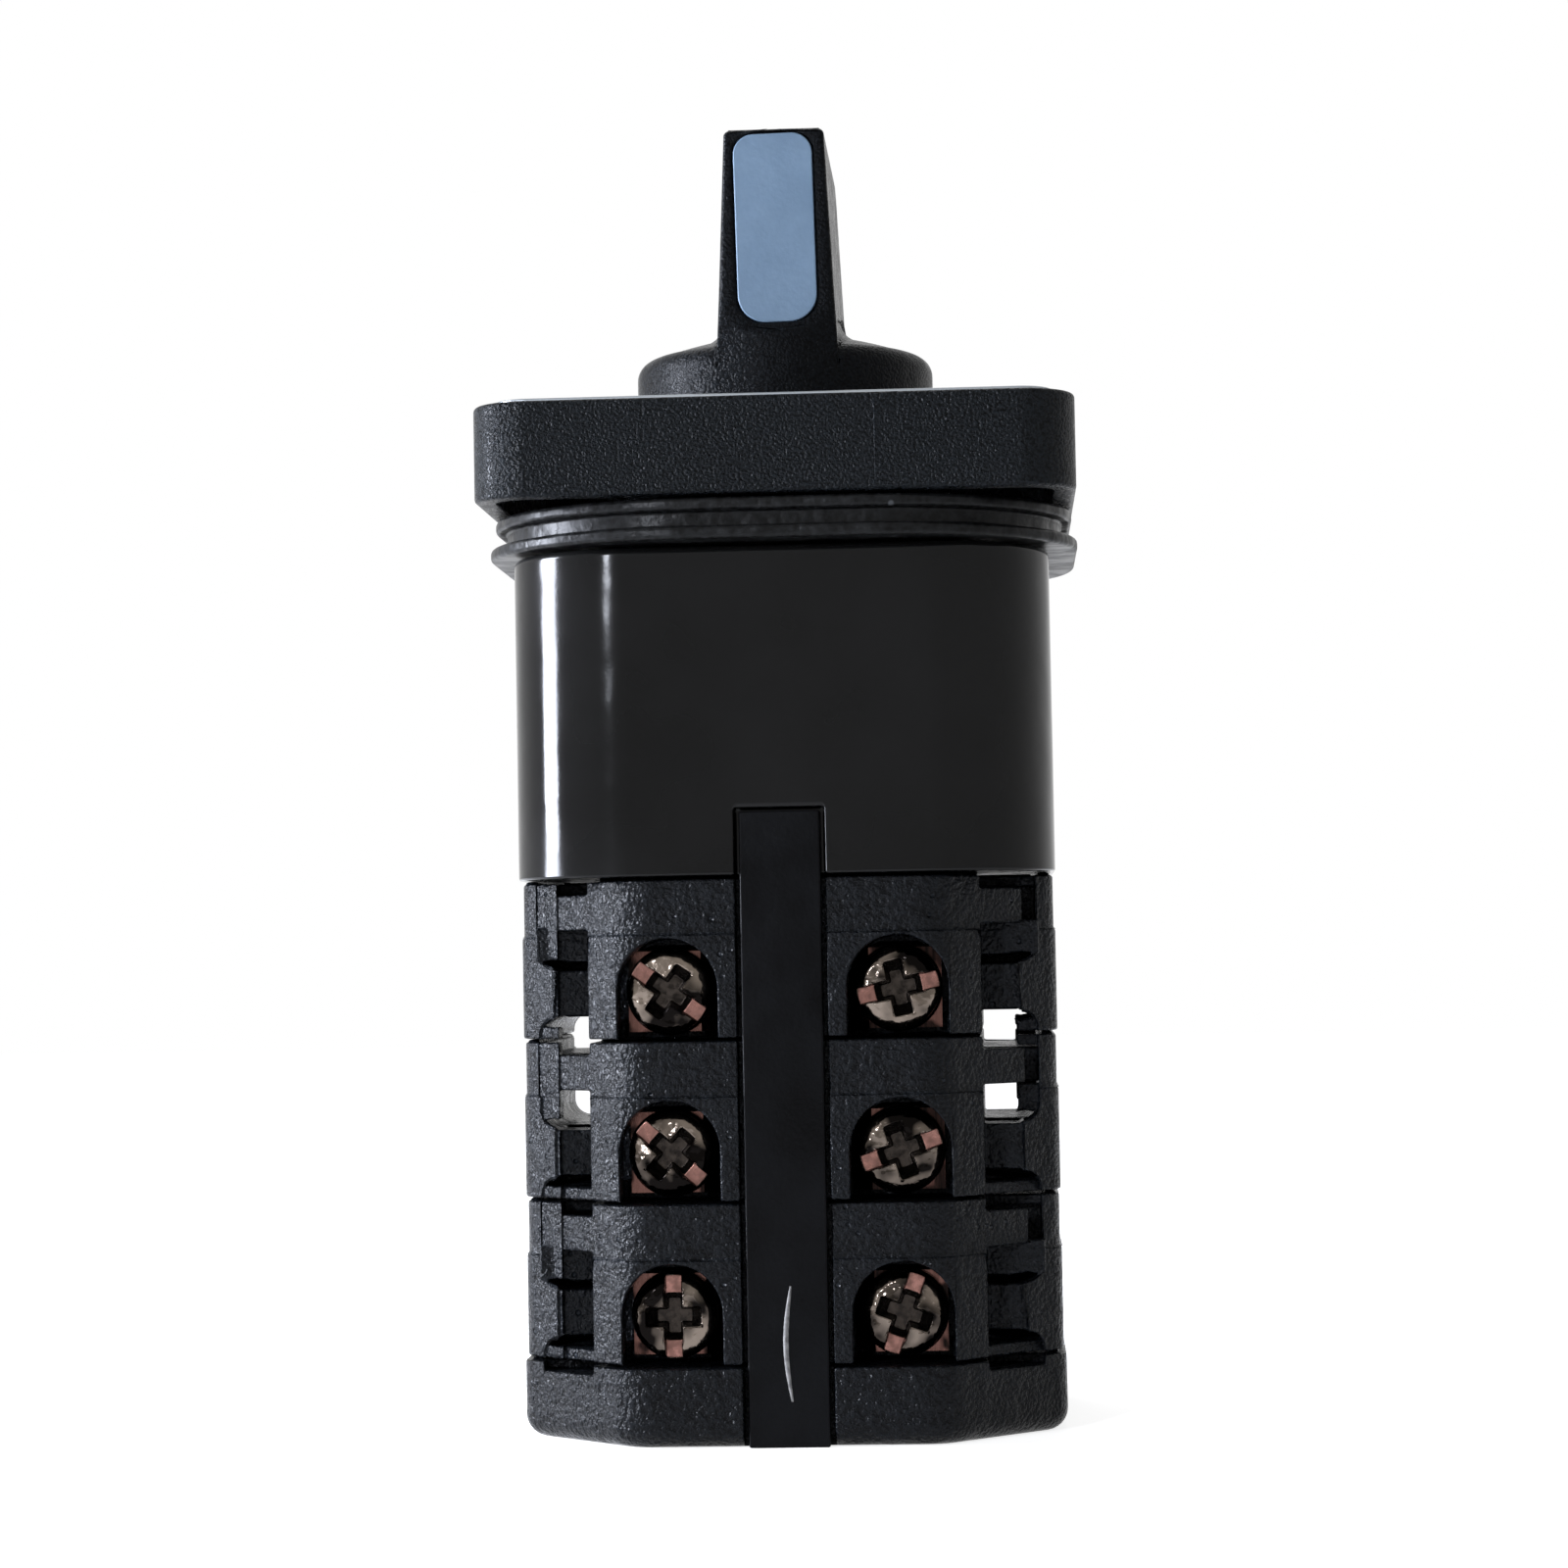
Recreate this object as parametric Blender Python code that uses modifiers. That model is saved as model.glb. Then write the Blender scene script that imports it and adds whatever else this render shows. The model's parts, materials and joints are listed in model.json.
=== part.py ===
"""Three-deck rotary cam switch with a square panel front.

The switch stands on its back cover. Its drive shaft is the Z axis, and the terminals lie on its -Y and
+Y sides. Three contact decks are stacked on the back cover. Each has two double-break contacts, at -X and
+X, and each contact is carried by a follower that slides along X against the deck's cam. Above the decks
the mechanism housing holds a notched detent wheel between two sprung sliders. The gasket, the bezel with
its legend plate and the bar knob come last.
"""

import math

import bmesh
import bpy
from mathutils import Matrix, Vector

MM = 0.001

# Fits
CLEARANCE = 0.3 * MM
SNUG = 0.15 * MM
OVERCUT = 1.0 * MM
WELD = 0.003 * MM

# Stack, seen from above: a square with cut corners
BODY_HALF = 21.7 * MM
BODY_CHAMFER = 9.3 * MM
FRONT_EDGE_RADIUS = 4.5 * MM
SIDE_EDGE_RADIUS = 2.5 * MM

# Stack, seen from the side
DECKS = 3
DECK_PITCH = 12.8 * MM
DECK_ROOF = 1.5 * MM
COVER_PITCH = 6.5 * MM
COVER_LIP = 0.2 * MM
COVER_EDGE_RADIUS = 1.8 * MM
COVER_FLOOR = 2.0 * MM
COVER_NOTCH = 0.7 * MM
RIB_Y = 10.2 * MM
RIB_WIDTH = 1.0 * MM
RIB_HEIGHT = 0.6 * MM

# Terminals
SCREW_X = 9.1 * MM
SCREW_HEIGHT = 3.7 * MM
SCREW_HEAD_RADIUS = 2.95 * MM
SCREW_HEAD_HEIGHT = 1.5 * MM
SCREW_DOME = 0.55 * MM
SCREW_SHANK_RADIUS = 1.6 * MM
SCREW_SHANK_LENGTH = 4.4 * MM
WASHER_RADIUS = 3.5 * MM
WASHER_THICKNESS = 0.8 * MM
POCKET_MARGIN = 0.5 * MM
POCKET_RISE = 0.2 * MM
HEAD_RECESS = 1.1 * MM
STRIP_THICKNESS = 0.9 * MM
STRIP_HEIGHT = 6.4 * MM
STRIP_BEND_RADIUS = 1.2 * MM
PAD_HALF = 3.4 * MM
KNEE_LENGTH = 2.6 * MM

# Wire entries and side channels
OUTER_WALL = 1.6 * MM
CORE_WALL = 1.0 * MM
LOW_SHELF_BOTTOM = 1.7 * MM
LOW_SHELF_TOP = 5.6 * MM
WEB_BOTTOM = 8.7 * MM
WEB_TOP = 11.5 * MM
WEB_THICKNESS = 1.2 * MM
WEB_SLOT = 1.1 * MM
TAB_DEPTH = 1.3 * MM
SHELF_SETBACK = 3.6 * MM
WIRE_SLOT = 2.4 * MM
WINDOW_RADIUS = 1.4 * MM
STOP_Y = 13.0 * MM

# Drive
SHAFT_HALF = 2.5 * MM
SHAFT_TOP_DROP = 9.5 * MM
JOURNAL_RADIUS = 4.4 * MM
TURN_STEP = math.radians(60)

# Cams and followers
CAM_MEAN_RADIUS = 6.0 * MM
CONTACT_STROKE = 1.2 * MM
CAM_HEIGHT = 9.2 * MM
CAM_CHAMBER_MARGIN = 0.8 * MM
NOSE_RADIUS = 1.5 * MM
NOSE_LENGTH = 1.3 * MM
FOLLOWER_HALF = 2.8 * MM
FOLLOWER_BACK = 1.1 * MM
CONTACT_X = 9.0 * MM
CONTACT_TIP_Y = 5.5 * MM
CONTACT_LAP = 2.5 * MM
BRIDGE_THICKNESS = 0.8 * MM
BRIDGE_HEIGHT = 5.0 * MM

# Detent
NOTCHES = 6
WHEEL_RADIUS = 8.0 * MM
WHEEL_HEIGHT = 6.0 * MM
WHEEL_LIFT = 1.2 * MM
DETENT_TRAVEL = 1.2 * MM
DETENT_NOSE_RADIUS = 2.0 * MM
SLIDER_HALF = 2.8 * MM
SLIDER_LENGTH = 5.7 * MM
SPRING_RADIUS = 1.3 * MM
SPRING_WIRE_RADIUS = 0.25 * MM
SPRING_TURNS = 4
SPRING_SEAT = 2.0 * MM

# Tie bolts and cover straps
BOLT_INSET = 7.7 * MM
BOLT_RADIUS = 1.5 * MM
BOLT_HEAD_RADIUS = 2.8 * MM
BOLT_HEAD_HEIGHT = 1.8 * MM
BOLT_HEAD_RECESS = 0.5 * MM
BOLT_THREAD = 8.0 * MM
STRAP_WIDTH = 6.4 * MM
STRAP_THICKNESS = 1.2 * MM
STRAP_SIDE_GAP = 0.4 * MM
STRAP_LAP = 5.0 * MM

# Mechanism housing
HOUSING_LIP = 0.1 * MM
HOUSING_CORNER = 10.0 * MM
HOUSING_HEIGHT = 26.1 * MM
HOUSING_EDGE = 0.6 * MM
BOSS_INSET = 9.0 * MM
BOSS_CORNER = 8.0 * MM
BOSS_HEIGHT = 4.6 * MM

# Gasket
GASKET_LAP = 0.25 * MM
GASKET_CORNER = 13.0 * MM
GASKET_THICKNESS = 3.3 * MM
GASKET_LIP_HEIGHT = 1.0 * MM
GASKET_LIP_RADIUS = 0.35 * MM
GASKET_UPPER_STEP = 0.45 * MM
GASKET_GROOVE = 1.4 * MM

# Bezel and legend plate
BEZEL_HALF = 24.0 * MM
BEZEL_CORNER = 4.5 * MM
BEZEL_HEIGHT = 7.7 * MM
BEZEL_WALL = 1.8 * MM
BEZEL_ROOF = 1.6 * MM
BEZEL_EDGE = 0.35 * MM
HUB_STEP = 1.0 * MM
LEGEND_RIM = 1.6 * MM
LEGEND_THICKNESS = 0.7 * MM
LEGEND_PROUD = 0.4 * MM

# Knob
KNOB_RADIUS = 12.5 * MM
KNOB_SKIRT = 4.0 * MM
KNOB_SHOULDER = 1.5 * MM
KNOB_DOME = 2.0 * MM
KNOB_HUB_RADIUS = 7.2 * MM
HANDLE_HEIGHT = 23.1 * MM
HANDLE_INSET = 0.8 * MM
HANDLE_TOP_HALF = 4.1 * MM
HANDLE_FOOT_HALF = 5.0 * MM
HANDLE_FLARE = 1.5 * MM
HANDLE_TOE = 2.4 * MM
HANDLE_END_RADIUS = 2.0 * MM
HANDLE_EDGE_RADIUS = 0.6 * MM
INSERT_WIDTH = 6.5 * MM
INSERT_LENGTH = 15.6 * MM
INSERT_DEPTH = 1.0 * MM
INSERT_TOP_DROP = 0.45 * MM
INSERT_PROUD = 0.05 * MM
KNOB_SCREW_RADIUS = 1.4 * MM
KNOB_SCREW_HEAD_RADIUS = 2.5 * MM
KNOB_SCREW_HEAD_HEIGHT = 2.0 * MM
KNOB_SCREW_LENGTH = 10.0 * MM
KNOB_WEB = 2.5 * MM

# Facets of round shapes
EDGE_STEPS = 3
CORNER_STEPS = 7
CAP_STEPS = 2
BEND_STEPS = 1
BORE_SIDES = 20
SMALL_SIDES = 8
ARCH_STEPS = 10
ROUND_SIDES = 32
SCREW_SIDES = 12
CAM_SIDES = 48
COIL_SIDES = 6
SHARP_ANGLE = math.radians(35)
FLAT_ANGLE = math.radians(0.1)

# Places that follow from the sizes above
HOUSING_HALF = BODY_HALF + HOUSING_LIP
BOLT_Y = BODY_HALF - BOLT_INSET
GASKET_HALF = BEZEL_HALF + GASKET_LAP
BOSS_HALF = BEZEL_HALF - BOSS_INSET
BEZEL_HUB_HALF = BOSS_HALF - HUB_STEP
HANDLE_END = KNOB_RADIUS - HANDLE_INSET

DECK_HEIGHT = DECK_PITCH - CLEARANCE
DECK_CEILING = DECK_HEIGHT - DECK_ROOF
STACK_TOP = COVER_PITCH + DECKS * DECK_PITCH
HOUSING_TOP = STACK_TOP + HOUSING_HEIGHT
BOSS_TOP = HOUSING_TOP + BOSS_HEIGHT
GASKET_BOTTOM = HOUSING_TOP + CLEARANCE
BEZEL_BOTTOM = GASKET_BOTTOM + GASKET_THICKNESS + CLEARANCE
BEZEL_TOP = BEZEL_BOTTOM + BEZEL_HEIGHT
LEGEND_TOP = BEZEL_TOP + LEGEND_PROUD
LEGEND_BOTTOM = LEGEND_TOP - LEGEND_THICKNESS
BEZEL_CEILING = LEGEND_BOTTOM - CLEARANCE - BEZEL_ROOF
HUB_BOTTOM = BOSS_TOP + CLEARANCE
KNOB_BOTTOM = LEGEND_TOP + CLEARANCE
KNOB_TOP = KNOB_BOTTOM + HANDLE_HEIGHT
SHAFT_TOP = KNOB_TOP - SHAFT_TOP_DROP
KNOB_SEAT = SHAFT_TOP + CLEARANCE + KNOB_WEB
SHAFT_HOLE_RADIUS = math.hypot(SHAFT_HALF, SHAFT_HALF) + CLEARANCE

HEAD_TOP_Y = BODY_HALF - HEAD_RECESS
WASHER_OUTER_Y = HEAD_TOP_Y - SCREW_HEAD_HEIGHT - SCREW_DOME
WASHER_INNER_Y = WASHER_OUTER_Y - WASHER_THICKNESS
PAD_Y = WASHER_INNER_Y - CLEARANCE - STRIP_THICKNESS / 2
SHANK_END_Y = WASHER_INNER_Y - SCREW_SHANK_LENGTH
POCKET_RADIUS = WASHER_RADIUS + POCKET_MARGIN

NOSE_X = CAM_MEAN_RADIUS + NOSE_RADIUS + CLEARANCE
BRIDGE_X = CONTACT_X + (STRIP_THICKNESS + BRIDGE_THICKNESS) / 2 + CLEARANCE + CONTACT_STROKE
BRIDGE_HALF_LENGTH = CONTACT_TIP_Y + CONTACT_LAP
FOLLOWER_END = BRIDGE_X + BRIDGE_THICKNESS / 2 + CLEARANCE + FOLLOWER_BACK
FOLLOWER_BORE_END = FOLLOWER_END + CONTACT_STROKE + CLEARANCE
CHANNEL_INNER = FOLLOWER_BORE_END + CORE_WALL
CHANNEL_OUTER = BODY_HALF - OUTER_WALL

WHEEL_BOTTOM = STACK_TOP + WHEEL_LIFT
WHEEL_TOP = WHEEL_BOTTOM + WHEEL_HEIGHT
SLIDER_NOSE_X = WHEEL_RADIUS + CLEARANCE + DETENT_NOSE_RADIUS
SLIDER_END = SLIDER_NOSE_X + SLIDER_LENGTH - DETENT_NOSE_RADIUS
SLIDER_BORE_END = HOUSING_HALF - SPRING_SEAT
SPRING_BORE_RADIUS = SPRING_RADIUS + SPRING_WIRE_RADIUS + CLEARANCE

KNOB_SCREW_SEAT = KNOB_SEAT + CLEARANCE
SKIRT_TOP = KNOB_BOTTOM + KNOB_SKIRT
DOME_FOOT = SKIRT_TOP + KNOB_SHOULDER
DOME_RADIUS = KNOB_RADIUS - KNOB_SHOULDER
KNOB_FOOT = KNOB_BOTTOM + KNOB_SKIRT / 2
INSERT_Z = KNOB_TOP - INSERT_TOP_DROP - INSERT_LENGTH / 2


def collection(name, parent, hidden=False):
    """Make a collection under another one."""
    made = bpy.data.collections.new(name)
    made.hide_render = hidden
    parent.children.link(made)
    return made


def clear_scene():
    """Remove every object, so that the scene holds only this switch."""
    for item in list(bpy.data.objects):
        bpy.data.objects.remove(item, do_unlink=True)


def close_mesh(mesh):
    """Weld the seams of a mesh, join its coplanar faces and turn all of them outwards."""
    shape = bmesh.new()
    shape.from_mesh(mesh)
    bmesh.ops.remove_doubles(shape, verts=shape.verts, dist=WELD)
    bmesh.ops.dissolve_limit(shape, angle_limit=FLAT_ANGLE, verts=shape.verts, edges=shape.edges)
    bmesh.ops.recalc_face_normals(shape, faces=shape.faces)
    shape.to_mesh(mesh)
    shape.free()
    return mesh


def mesh_of(item):
    """Take the finished mesh of an object and remove the object."""
    bpy.context.view_layer.update()
    graph = bpy.context.evaluated_depsgraph_get()
    mesh = bpy.data.meshes.new_from_object(item.evaluated_get(graph))
    mesh.transform(item.matrix_world)
    bpy.data.objects.remove(item, do_unlink=True)
    return close_mesh(mesh)


def stage(name, data):
    """Link new data to the scene, where its modifiers can be worked out."""
    item = bpy.data.objects.new(name, data)
    bpy.context.scene.collection.objects.link(item)
    return item


def rounded(corners, steps, closed=True):
    """Flat outline through (x, y, radius) corners, with an arc at each corner that has a radius."""
    points = []
    for index, (x, y, radius) in enumerate(corners):
        at_end = not closed and index in (0, len(corners) - 1)
        if radius <= 0 or at_end:
            points.append((x, y))
            continue
        corner = Vector((x, y))
        back = (Vector(corners[index - 1][:2]) - corner).normalized()
        ahead = (Vector(corners[(index + 1) % len(corners)][:2]) - corner).normalized()
        half_angle = back.angle(ahead) / 2
        centre = corner + (back + ahead).normalized() * (radius / math.sin(half_angle))
        start = corner + back * (radius / math.tan(half_angle)) - centre
        turn = math.copysign(math.pi - 2 * half_angle, ahead.x * back.y - ahead.y * back.x)
        for step in range(steps + 1):
            points.append(tuple(centre + Matrix.Rotation(turn * step / steps, 2) @ start))
    return points


def rounded_square(half, corner, steps=CORNER_STEPS):
    """Square outline with round corners."""
    signs = ((1, -1), (1, 1), (-1, 1), (-1, -1))
    return rounded([(half * x, half * y, corner) for x, y in signs], steps)


def cut_square(half):
    """Outline of the stack: a square with cut corners, all eight edges rounded."""
    flat = half - BODY_CHAMFER
    corners = []
    for x, y in ((1, -1), (1, 1), (-1, 1), (-1, -1)):
        front = (flat * x, half * y, FRONT_EDGE_RADIUS)
        side = (half * x, flat * y, SIDE_EDGE_RADIUS)
        corners += [front, side] if x * y < 0 else [side, front]
    return rounded(corners, EDGE_STEPS)


def ring(radius, sides, centre=(0, 0)):
    """Circle outline."""
    turns = [2 * math.pi * step / sides for step in range(sides)]
    return [(centre[0] + radius * math.cos(turn), centre[1] + radius * math.sin(turn)) for turn in turns]


def square(half):
    """Plain square outline."""
    return [(half, -half), (half, half), (-half, half), (-half, -half)]


def rectangle(low_x, high_x, low_y, high_y):
    """Plain rectangle outline."""
    return [(low_x, low_y), (high_x, low_y), (high_x, high_y), (low_x, high_y)]


def arch(centre_x, centre_y, radius, foot):
    """Outline of a round-headed opening that stands on a straight foot."""
    turns = [math.pi * step / ARCH_STEPS for step in range(ARCH_STEPS + 1)]
    head = [(centre_x + radius * math.cos(turn), centre_y + radius * math.sin(turn)) for turn in turns]
    return [(centre_x + radius, foot), *head, (centre_x - radius, foot)]


def stadium(centre_y, width, length, steps=CORNER_STEPS):
    """Upright outline with straight sides and round ends."""
    radius = width / 2
    straight = length / 2 - radius
    points = []
    for end in (1, -1):
        for step in range(steps + 1):
            turn = math.pi * step / steps + (0 if end > 0 else math.pi)
            points.append((radius * math.cos(turn), centre_y + end * straight + radius * math.sin(turn)))
    return points


def placed(points, x_sign=1, y_sign=1):
    """Mirror an outline into another quarter."""
    return [(x * x_sign, y * y_sign) for x, y in points]


# An outline's own plane, turned so that it is drawn across each axis
ACROSS = {
    "Z": Matrix.Identity(4),
    "Y": Matrix(((1, 0, 0, 0), (0, 0, -1, 0), (0, 1, 0, 0), (0, 0, 0, 1))),
    "X": Matrix(((0, 0, 1, 0), (1, 0, 0, 0), (0, 1, 0, 0), (0, 0, 0, 1))),
}


def prism(name, outlines, low, high, axis="Z"):
    """Extrude flat outlines between two planes. Inner outlines are holes.

    Across Z an outline is (x, y), across Y it is (x, z) and across X it is (y, z).
    """
    curve = bpy.data.curves.new(name, "CURVE")
    curve.dimensions = "2D"
    curve.fill_mode = "BOTH"
    curve.extrude = (high - low) / 2
    for outline in outlines:
        spline = curve.splines.new("POLY")
        spline.points.add(len(outline) - 1)
        spline.use_cyclic_u = True
        for point, (x, y) in zip(spline.points, outline):
            point.co = (x, y, 0, 1)
    item = stage(name, curve)
    middle = (low + high) / 2
    item.matrix_world = ACROSS[axis] @ Matrix.Translation((0, 0, -middle if axis == "Y" else middle))
    return stage(name, mesh_of(item))


def block(name, corner, opposite):
    """Box between two opposite corners."""
    low = Vector([min(pair) for pair in zip(corner, opposite)])
    high = Vector([max(pair) for pair in zip(corner, opposite)])
    mesh = bpy.data.meshes.new(name)
    shape = bmesh.new()
    size = Matrix.Diagonal((*(high - low), 1))
    bmesh.ops.create_cube(shape, size=1, matrix=Matrix.Translation((low + high) / 2) @ size)
    shape.to_mesh(mesh)
    shape.free()
    return stage(name, mesh)


def turned(name, profile, sides):
    """Turn an (r, z) profile about Z. The profile runs down its outer side, from the top to the bottom."""
    mesh = bpy.data.meshes.new(name)
    points = [(radius, 0, height) for radius, height in profile]
    mesh.from_pydata(points, [(index, index + 1) for index in range(len(points) - 1)], [])
    item = stage(name, mesh)
    screw = item.modifiers.new("Turn", "SCREW")
    screw.steps = sides
    screw.render_steps = sides
    screw.use_merge_vertices = True
    screw.merge_threshold = WELD
    return stage(name, mesh_of(item))


def ribbon(name, path, thickness, low, high):
    """Bend a flat strip along an open path, standing on edge between two heights."""
    curve = bpy.data.curves.new(name, "CURVE")
    curve.dimensions = "2D"
    curve.fill_mode = "NONE"
    curve.extrude = (high - low) / 2
    spline = curve.splines.new("POLY")
    spline.points.add(len(path) - 1)
    for point, (x, y) in zip(spline.points, path):
        point.co = (x, y, 0, 1)
    item = stage(name, curve)
    item.location.z = (low + high) / 2
    solid = item.modifiers.new("Thickness", "SOLIDIFY")
    solid.thickness = thickness
    solid.offset = 0
    solid.use_even_offset = True
    return stage(name, mesh_of(item))


def joined(item, tools, operation="DIFFERENCE"):
    """Cut, join or intersect an object with all its tools at once, and keep the tools as hidden guides."""
    group = collection(f"{item.name}_{operation.lower()}", CUTTERS, hidden=True)
    for tool in tools:
        bpy.context.scene.collection.objects.unlink(tool)
        group.objects.link(tool)
        tool.hide_render = True
        tool.display_type = "WIRE"
    boolean = item.modifiers.new(operation.title(), "BOOLEAN")
    boolean.operation = operation
    boolean.operand_type = "COLLECTION"
    boolean.collection = group
    boolean.solver = "EXACT"
    name = item.name
    return stage(name, mesh_of(item))


def bevelled(item, width, steps, wanted):
    """Round the edges whose middle and direction pass a test."""
    shape = bmesh.new()
    shape.from_mesh(item.data)
    edges = [edge for edge in shape.edges if wanted(*[vertex.co for vertex in edge.verts])]
    bmesh.ops.bevel(
        shape,
        geom=edges,
        offset=width,
        segments=steps,
        affect="EDGES",
        clamp_overlap=True,
    )
    shape.to_mesh(item.data)
    shape.free()
    close_mesh(item.data)
    return item


def level(height):
    """Test for edges that lie at one height."""
    return lambda start, end: max(abs(start.z - height), abs(end.z - height)) < WELD


def finish(name, colour, roughness, metallic=0.0):
    """Principled material from an sRGB hex colour."""
    material = bpy.data.materials.new(name)
    material.use_nodes = True
    shader = material.node_tree.nodes["Principled BSDF"]
    channels = [int(colour[index : index + 2], 16) / 255 for index in (1, 3, 5)]
    linear = [((c + 0.055) / 1.055) ** 2.4 if c > 0.04045 else c / 12.92 for c in channels]
    shader.inputs["Base Color"].default_value = (*linear, 1)
    shader.inputs["Roughness"].default_value = roughness
    shader.inputs["Metallic"].default_value = metallic
    return material


def mesh_from(item, material):
    """Take an object's mesh, shade its round faces smooth and give it its material."""
    mesh = mesh_of(item)
    mesh.materials.clear()
    mesh.materials.append(material)
    mesh.shade_smooth()
    mesh.set_sharp_from_angle(angle=SHARP_ANGLE)
    return mesh


def add(name, mesh, location=(0, 0, 0), rotation=(0, 0, 0), parent=None):
    """Place one named piece of the switch."""
    item = bpy.data.objects.new(name, mesh)
    item.location = location
    item.rotation_euler = rotation
    item.parent = parent
    PARTS.objects.link(item)
    return item


def bolt_holes(low, high):
    """Cutters for the two tie bolts between two heights."""
    radius = BOLT_RADIUS + CLEARANCE
    return [
        prism("bolt_hole", [ring(radius, SMALL_SIDES, (0, side * BOLT_Y))], low, high) for side in (-1, 1)
    ]


def strap_grooves(low, high, face):
    """Cutters for the strap grooves of the -Y and +Y faces."""
    half = STRAP_WIDTH / 2 + STRAP_SIDE_GAP
    floor = BODY_HALF - STRAP_THICKNESS - CLEARANCE
    return [
        block("strap_groove", (-half, side * floor, low), (half, side * (face + OVERCUT), high))
        for side in (-1, 1)
    ]


def locating_ribs(top):
    """Two ribs that key a piece of the stack into the piece above it."""
    half = CHANNEL_INNER - CLEARANCE
    low = top - OVERCUT
    return [
        block(
            "rib",
            (-half, side * RIB_Y, low),
            (half, side * (RIB_Y + RIB_WIDTH), top + RIB_HEIGHT),
        )
        for side in (-1, 1)
    ]


def rib_grooves(bottom):
    """Cutters for the grooves that take the ribs of the piece below."""
    half = CHANNEL_INNER
    return [
        block(
            "rib_groove",
            (-half, side * (RIB_Y - CLEARANCE), bottom - OVERCUT),
            (half, side * (RIB_Y + RIB_WIDTH + CLEARANCE), bottom + RIB_HEIGHT),
        )
        for side in (-1, 1)
    ]


def side_channels(x_sign, stopped):
    """Cutters for the open channels that run along Y between a deck's core and its outer wall.

    In a stopped deck the middle and the top channel are only pockets at each end.
    """
    inner = x_sign * CHANNEL_INNER
    outer = x_sign * CHANNEL_OUTER
    low = rounded(
        [
            (inner, -OVERCUT, 0),
            (outer, -OVERCUT, 0),
            (outer, LOW_SHELF_BOTTOM, WINDOW_RADIUS),
            (inner, LOW_SHELF_BOTTOM, 0),
        ],
        EDGE_STEPS,
    )
    middle = rounded(
        [
            (inner, LOW_SHELF_TOP, 0),
            (outer, LOW_SHELF_TOP, WINDOW_RADIUS),
            (outer, WEB_BOTTOM, 0),
            (inner, WEB_BOTTOM, 0),
        ],
        EDGE_STEPS,
    )
    top = rectangle(inner, outer, WEB_TOP, DECK_HEIGHT + OVERCUT)
    reach = BODY_HALF + OVERCUT
    tools = [prism("side_channel", [low], -reach, reach, "Y")]
    spans = [(-reach, -STOP_Y), (STOP_Y, reach)] if stopped else [(-reach, reach)]
    for start, end in spans:
        tools += [prism("side_channel", [outline], start, end, "Y") for outline in (middle, top)]
    return tools


def wire_entry(x_sign, y_sign):
    """Cutters that open one cut corner of a deck beside its web, its tab and its lower shelf."""
    reach = BODY_HALF + OVERCUT
    shelf_y = BODY_HALF - SHELF_SETBACK - (CHANNEL_INNER - BODY_HALF + BODY_CHAMFER)
    mouth = rectangle(CHANNEL_INNER, CHANNEL_OUTER - TAB_DEPTH, shelf_y, reach)
    slope = 2 * BODY_HALF - BODY_CHAMFER - WEB_THICKNESS * math.sqrt(2)
    back = BODY_HALF - BODY_CHAMFER - OVERCUT
    behind_web = [
        (CHANNEL_INNER, back),
        (CHANNEL_OUTER, back),
        (CHANNEL_OUTER, reach),
        (CHANNEL_OUTER - WEB_SLOT, reach),
        (CHANNEL_OUTER - WEB_SLOT, slope - CHANNEL_OUTER + WEB_SLOT),
        (CHANNEL_INNER, slope - CHANNEL_INNER),
    ]
    lap = CLEARANCE / 2
    low = LOW_SHELF_BOTTOM - lap
    wire = rectangle(
        SCREW_X + PAD_HALF - CLEARANCE,
        CHANNEL_INNER + lap,
        PAD_Y - STRIP_THICKNESS,
        PAD_Y + WIRE_SLOT - 2 * STRIP_THICKNESS,
    )
    return [
        prism("wire_mouth", [placed(mouth, x_sign, y_sign)], low, LOW_SHELF_TOP + lap),
        prism("behind_web", [placed(behind_web, x_sign, y_sign)], WEB_BOTTOM - lap, WEB_TOP + lap),
        prism("wire_slot", [placed(wire, x_sign, y_sign)], low, LOW_SHELF_TOP + lap),
    ]


def strip_path(x_sign=1, y_sign=1):
    """Centre line of a terminal strip, from the outer end of its pad to its contact tip."""
    inner_x = SCREW_X - PAD_HALF
    knee_y = CONTACT_TIP_Y + CONTACT_LAP + CLEARANCE
    corners = [
        (SCREW_X + PAD_HALF, PAD_Y, 0),
        (inner_x, PAD_Y, STRIP_BEND_RADIUS),
        (inner_x, knee_y + KNEE_LENGTH, STRIP_BEND_RADIUS),
        (CONTACT_X, knee_y, STRIP_BEND_RADIUS),
        (CONTACT_X, CONTACT_TIP_Y, 0),
    ]
    return placed(rounded(corners, BEND_STEPS, closed=False), x_sign, y_sign)


def terminal_pocket(x_sign, y_sign):
    """Cutters for one terminal: the arched screw pocket, the strip's slot and the shank's hole."""
    centre_x = x_sign * SCREW_X
    outline = arch(centre_x, SCREW_HEIGHT + POCKET_RISE, POCKET_RADIUS, -OVERCUT)
    floor = y_sign * (PAD_Y + STRIP_THICKNESS / 2)
    face = y_sign * (BODY_HALF + OVERCUT)
    slot_top = SCREW_HEIGHT + STRIP_HEIGHT / 2 + CLEARANCE
    path = strip_path(x_sign, y_sign)
    lead = [(path[0][0] + x_sign * CLEARANCE, path[0][1]), *path[1:]]
    hole = ring(SCREW_SHANK_RADIUS + CLEARANCE, SMALL_SIDES, (centre_x, SCREW_HEIGHT))
    depth = y_sign * (SHANK_END_Y - CLEARANCE)
    return [
        prism("screw_pocket", [outline], min(floor, face), max(floor, face), "Y"),
        ribbon("strip_slot", lead, STRIP_THICKNESS + 2 * CLEARANCE, -OVERCUT, slot_top),
        prism("shank_hole", [hole], min(depth, floor), max(depth, floor), "Y"),
    ]


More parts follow.
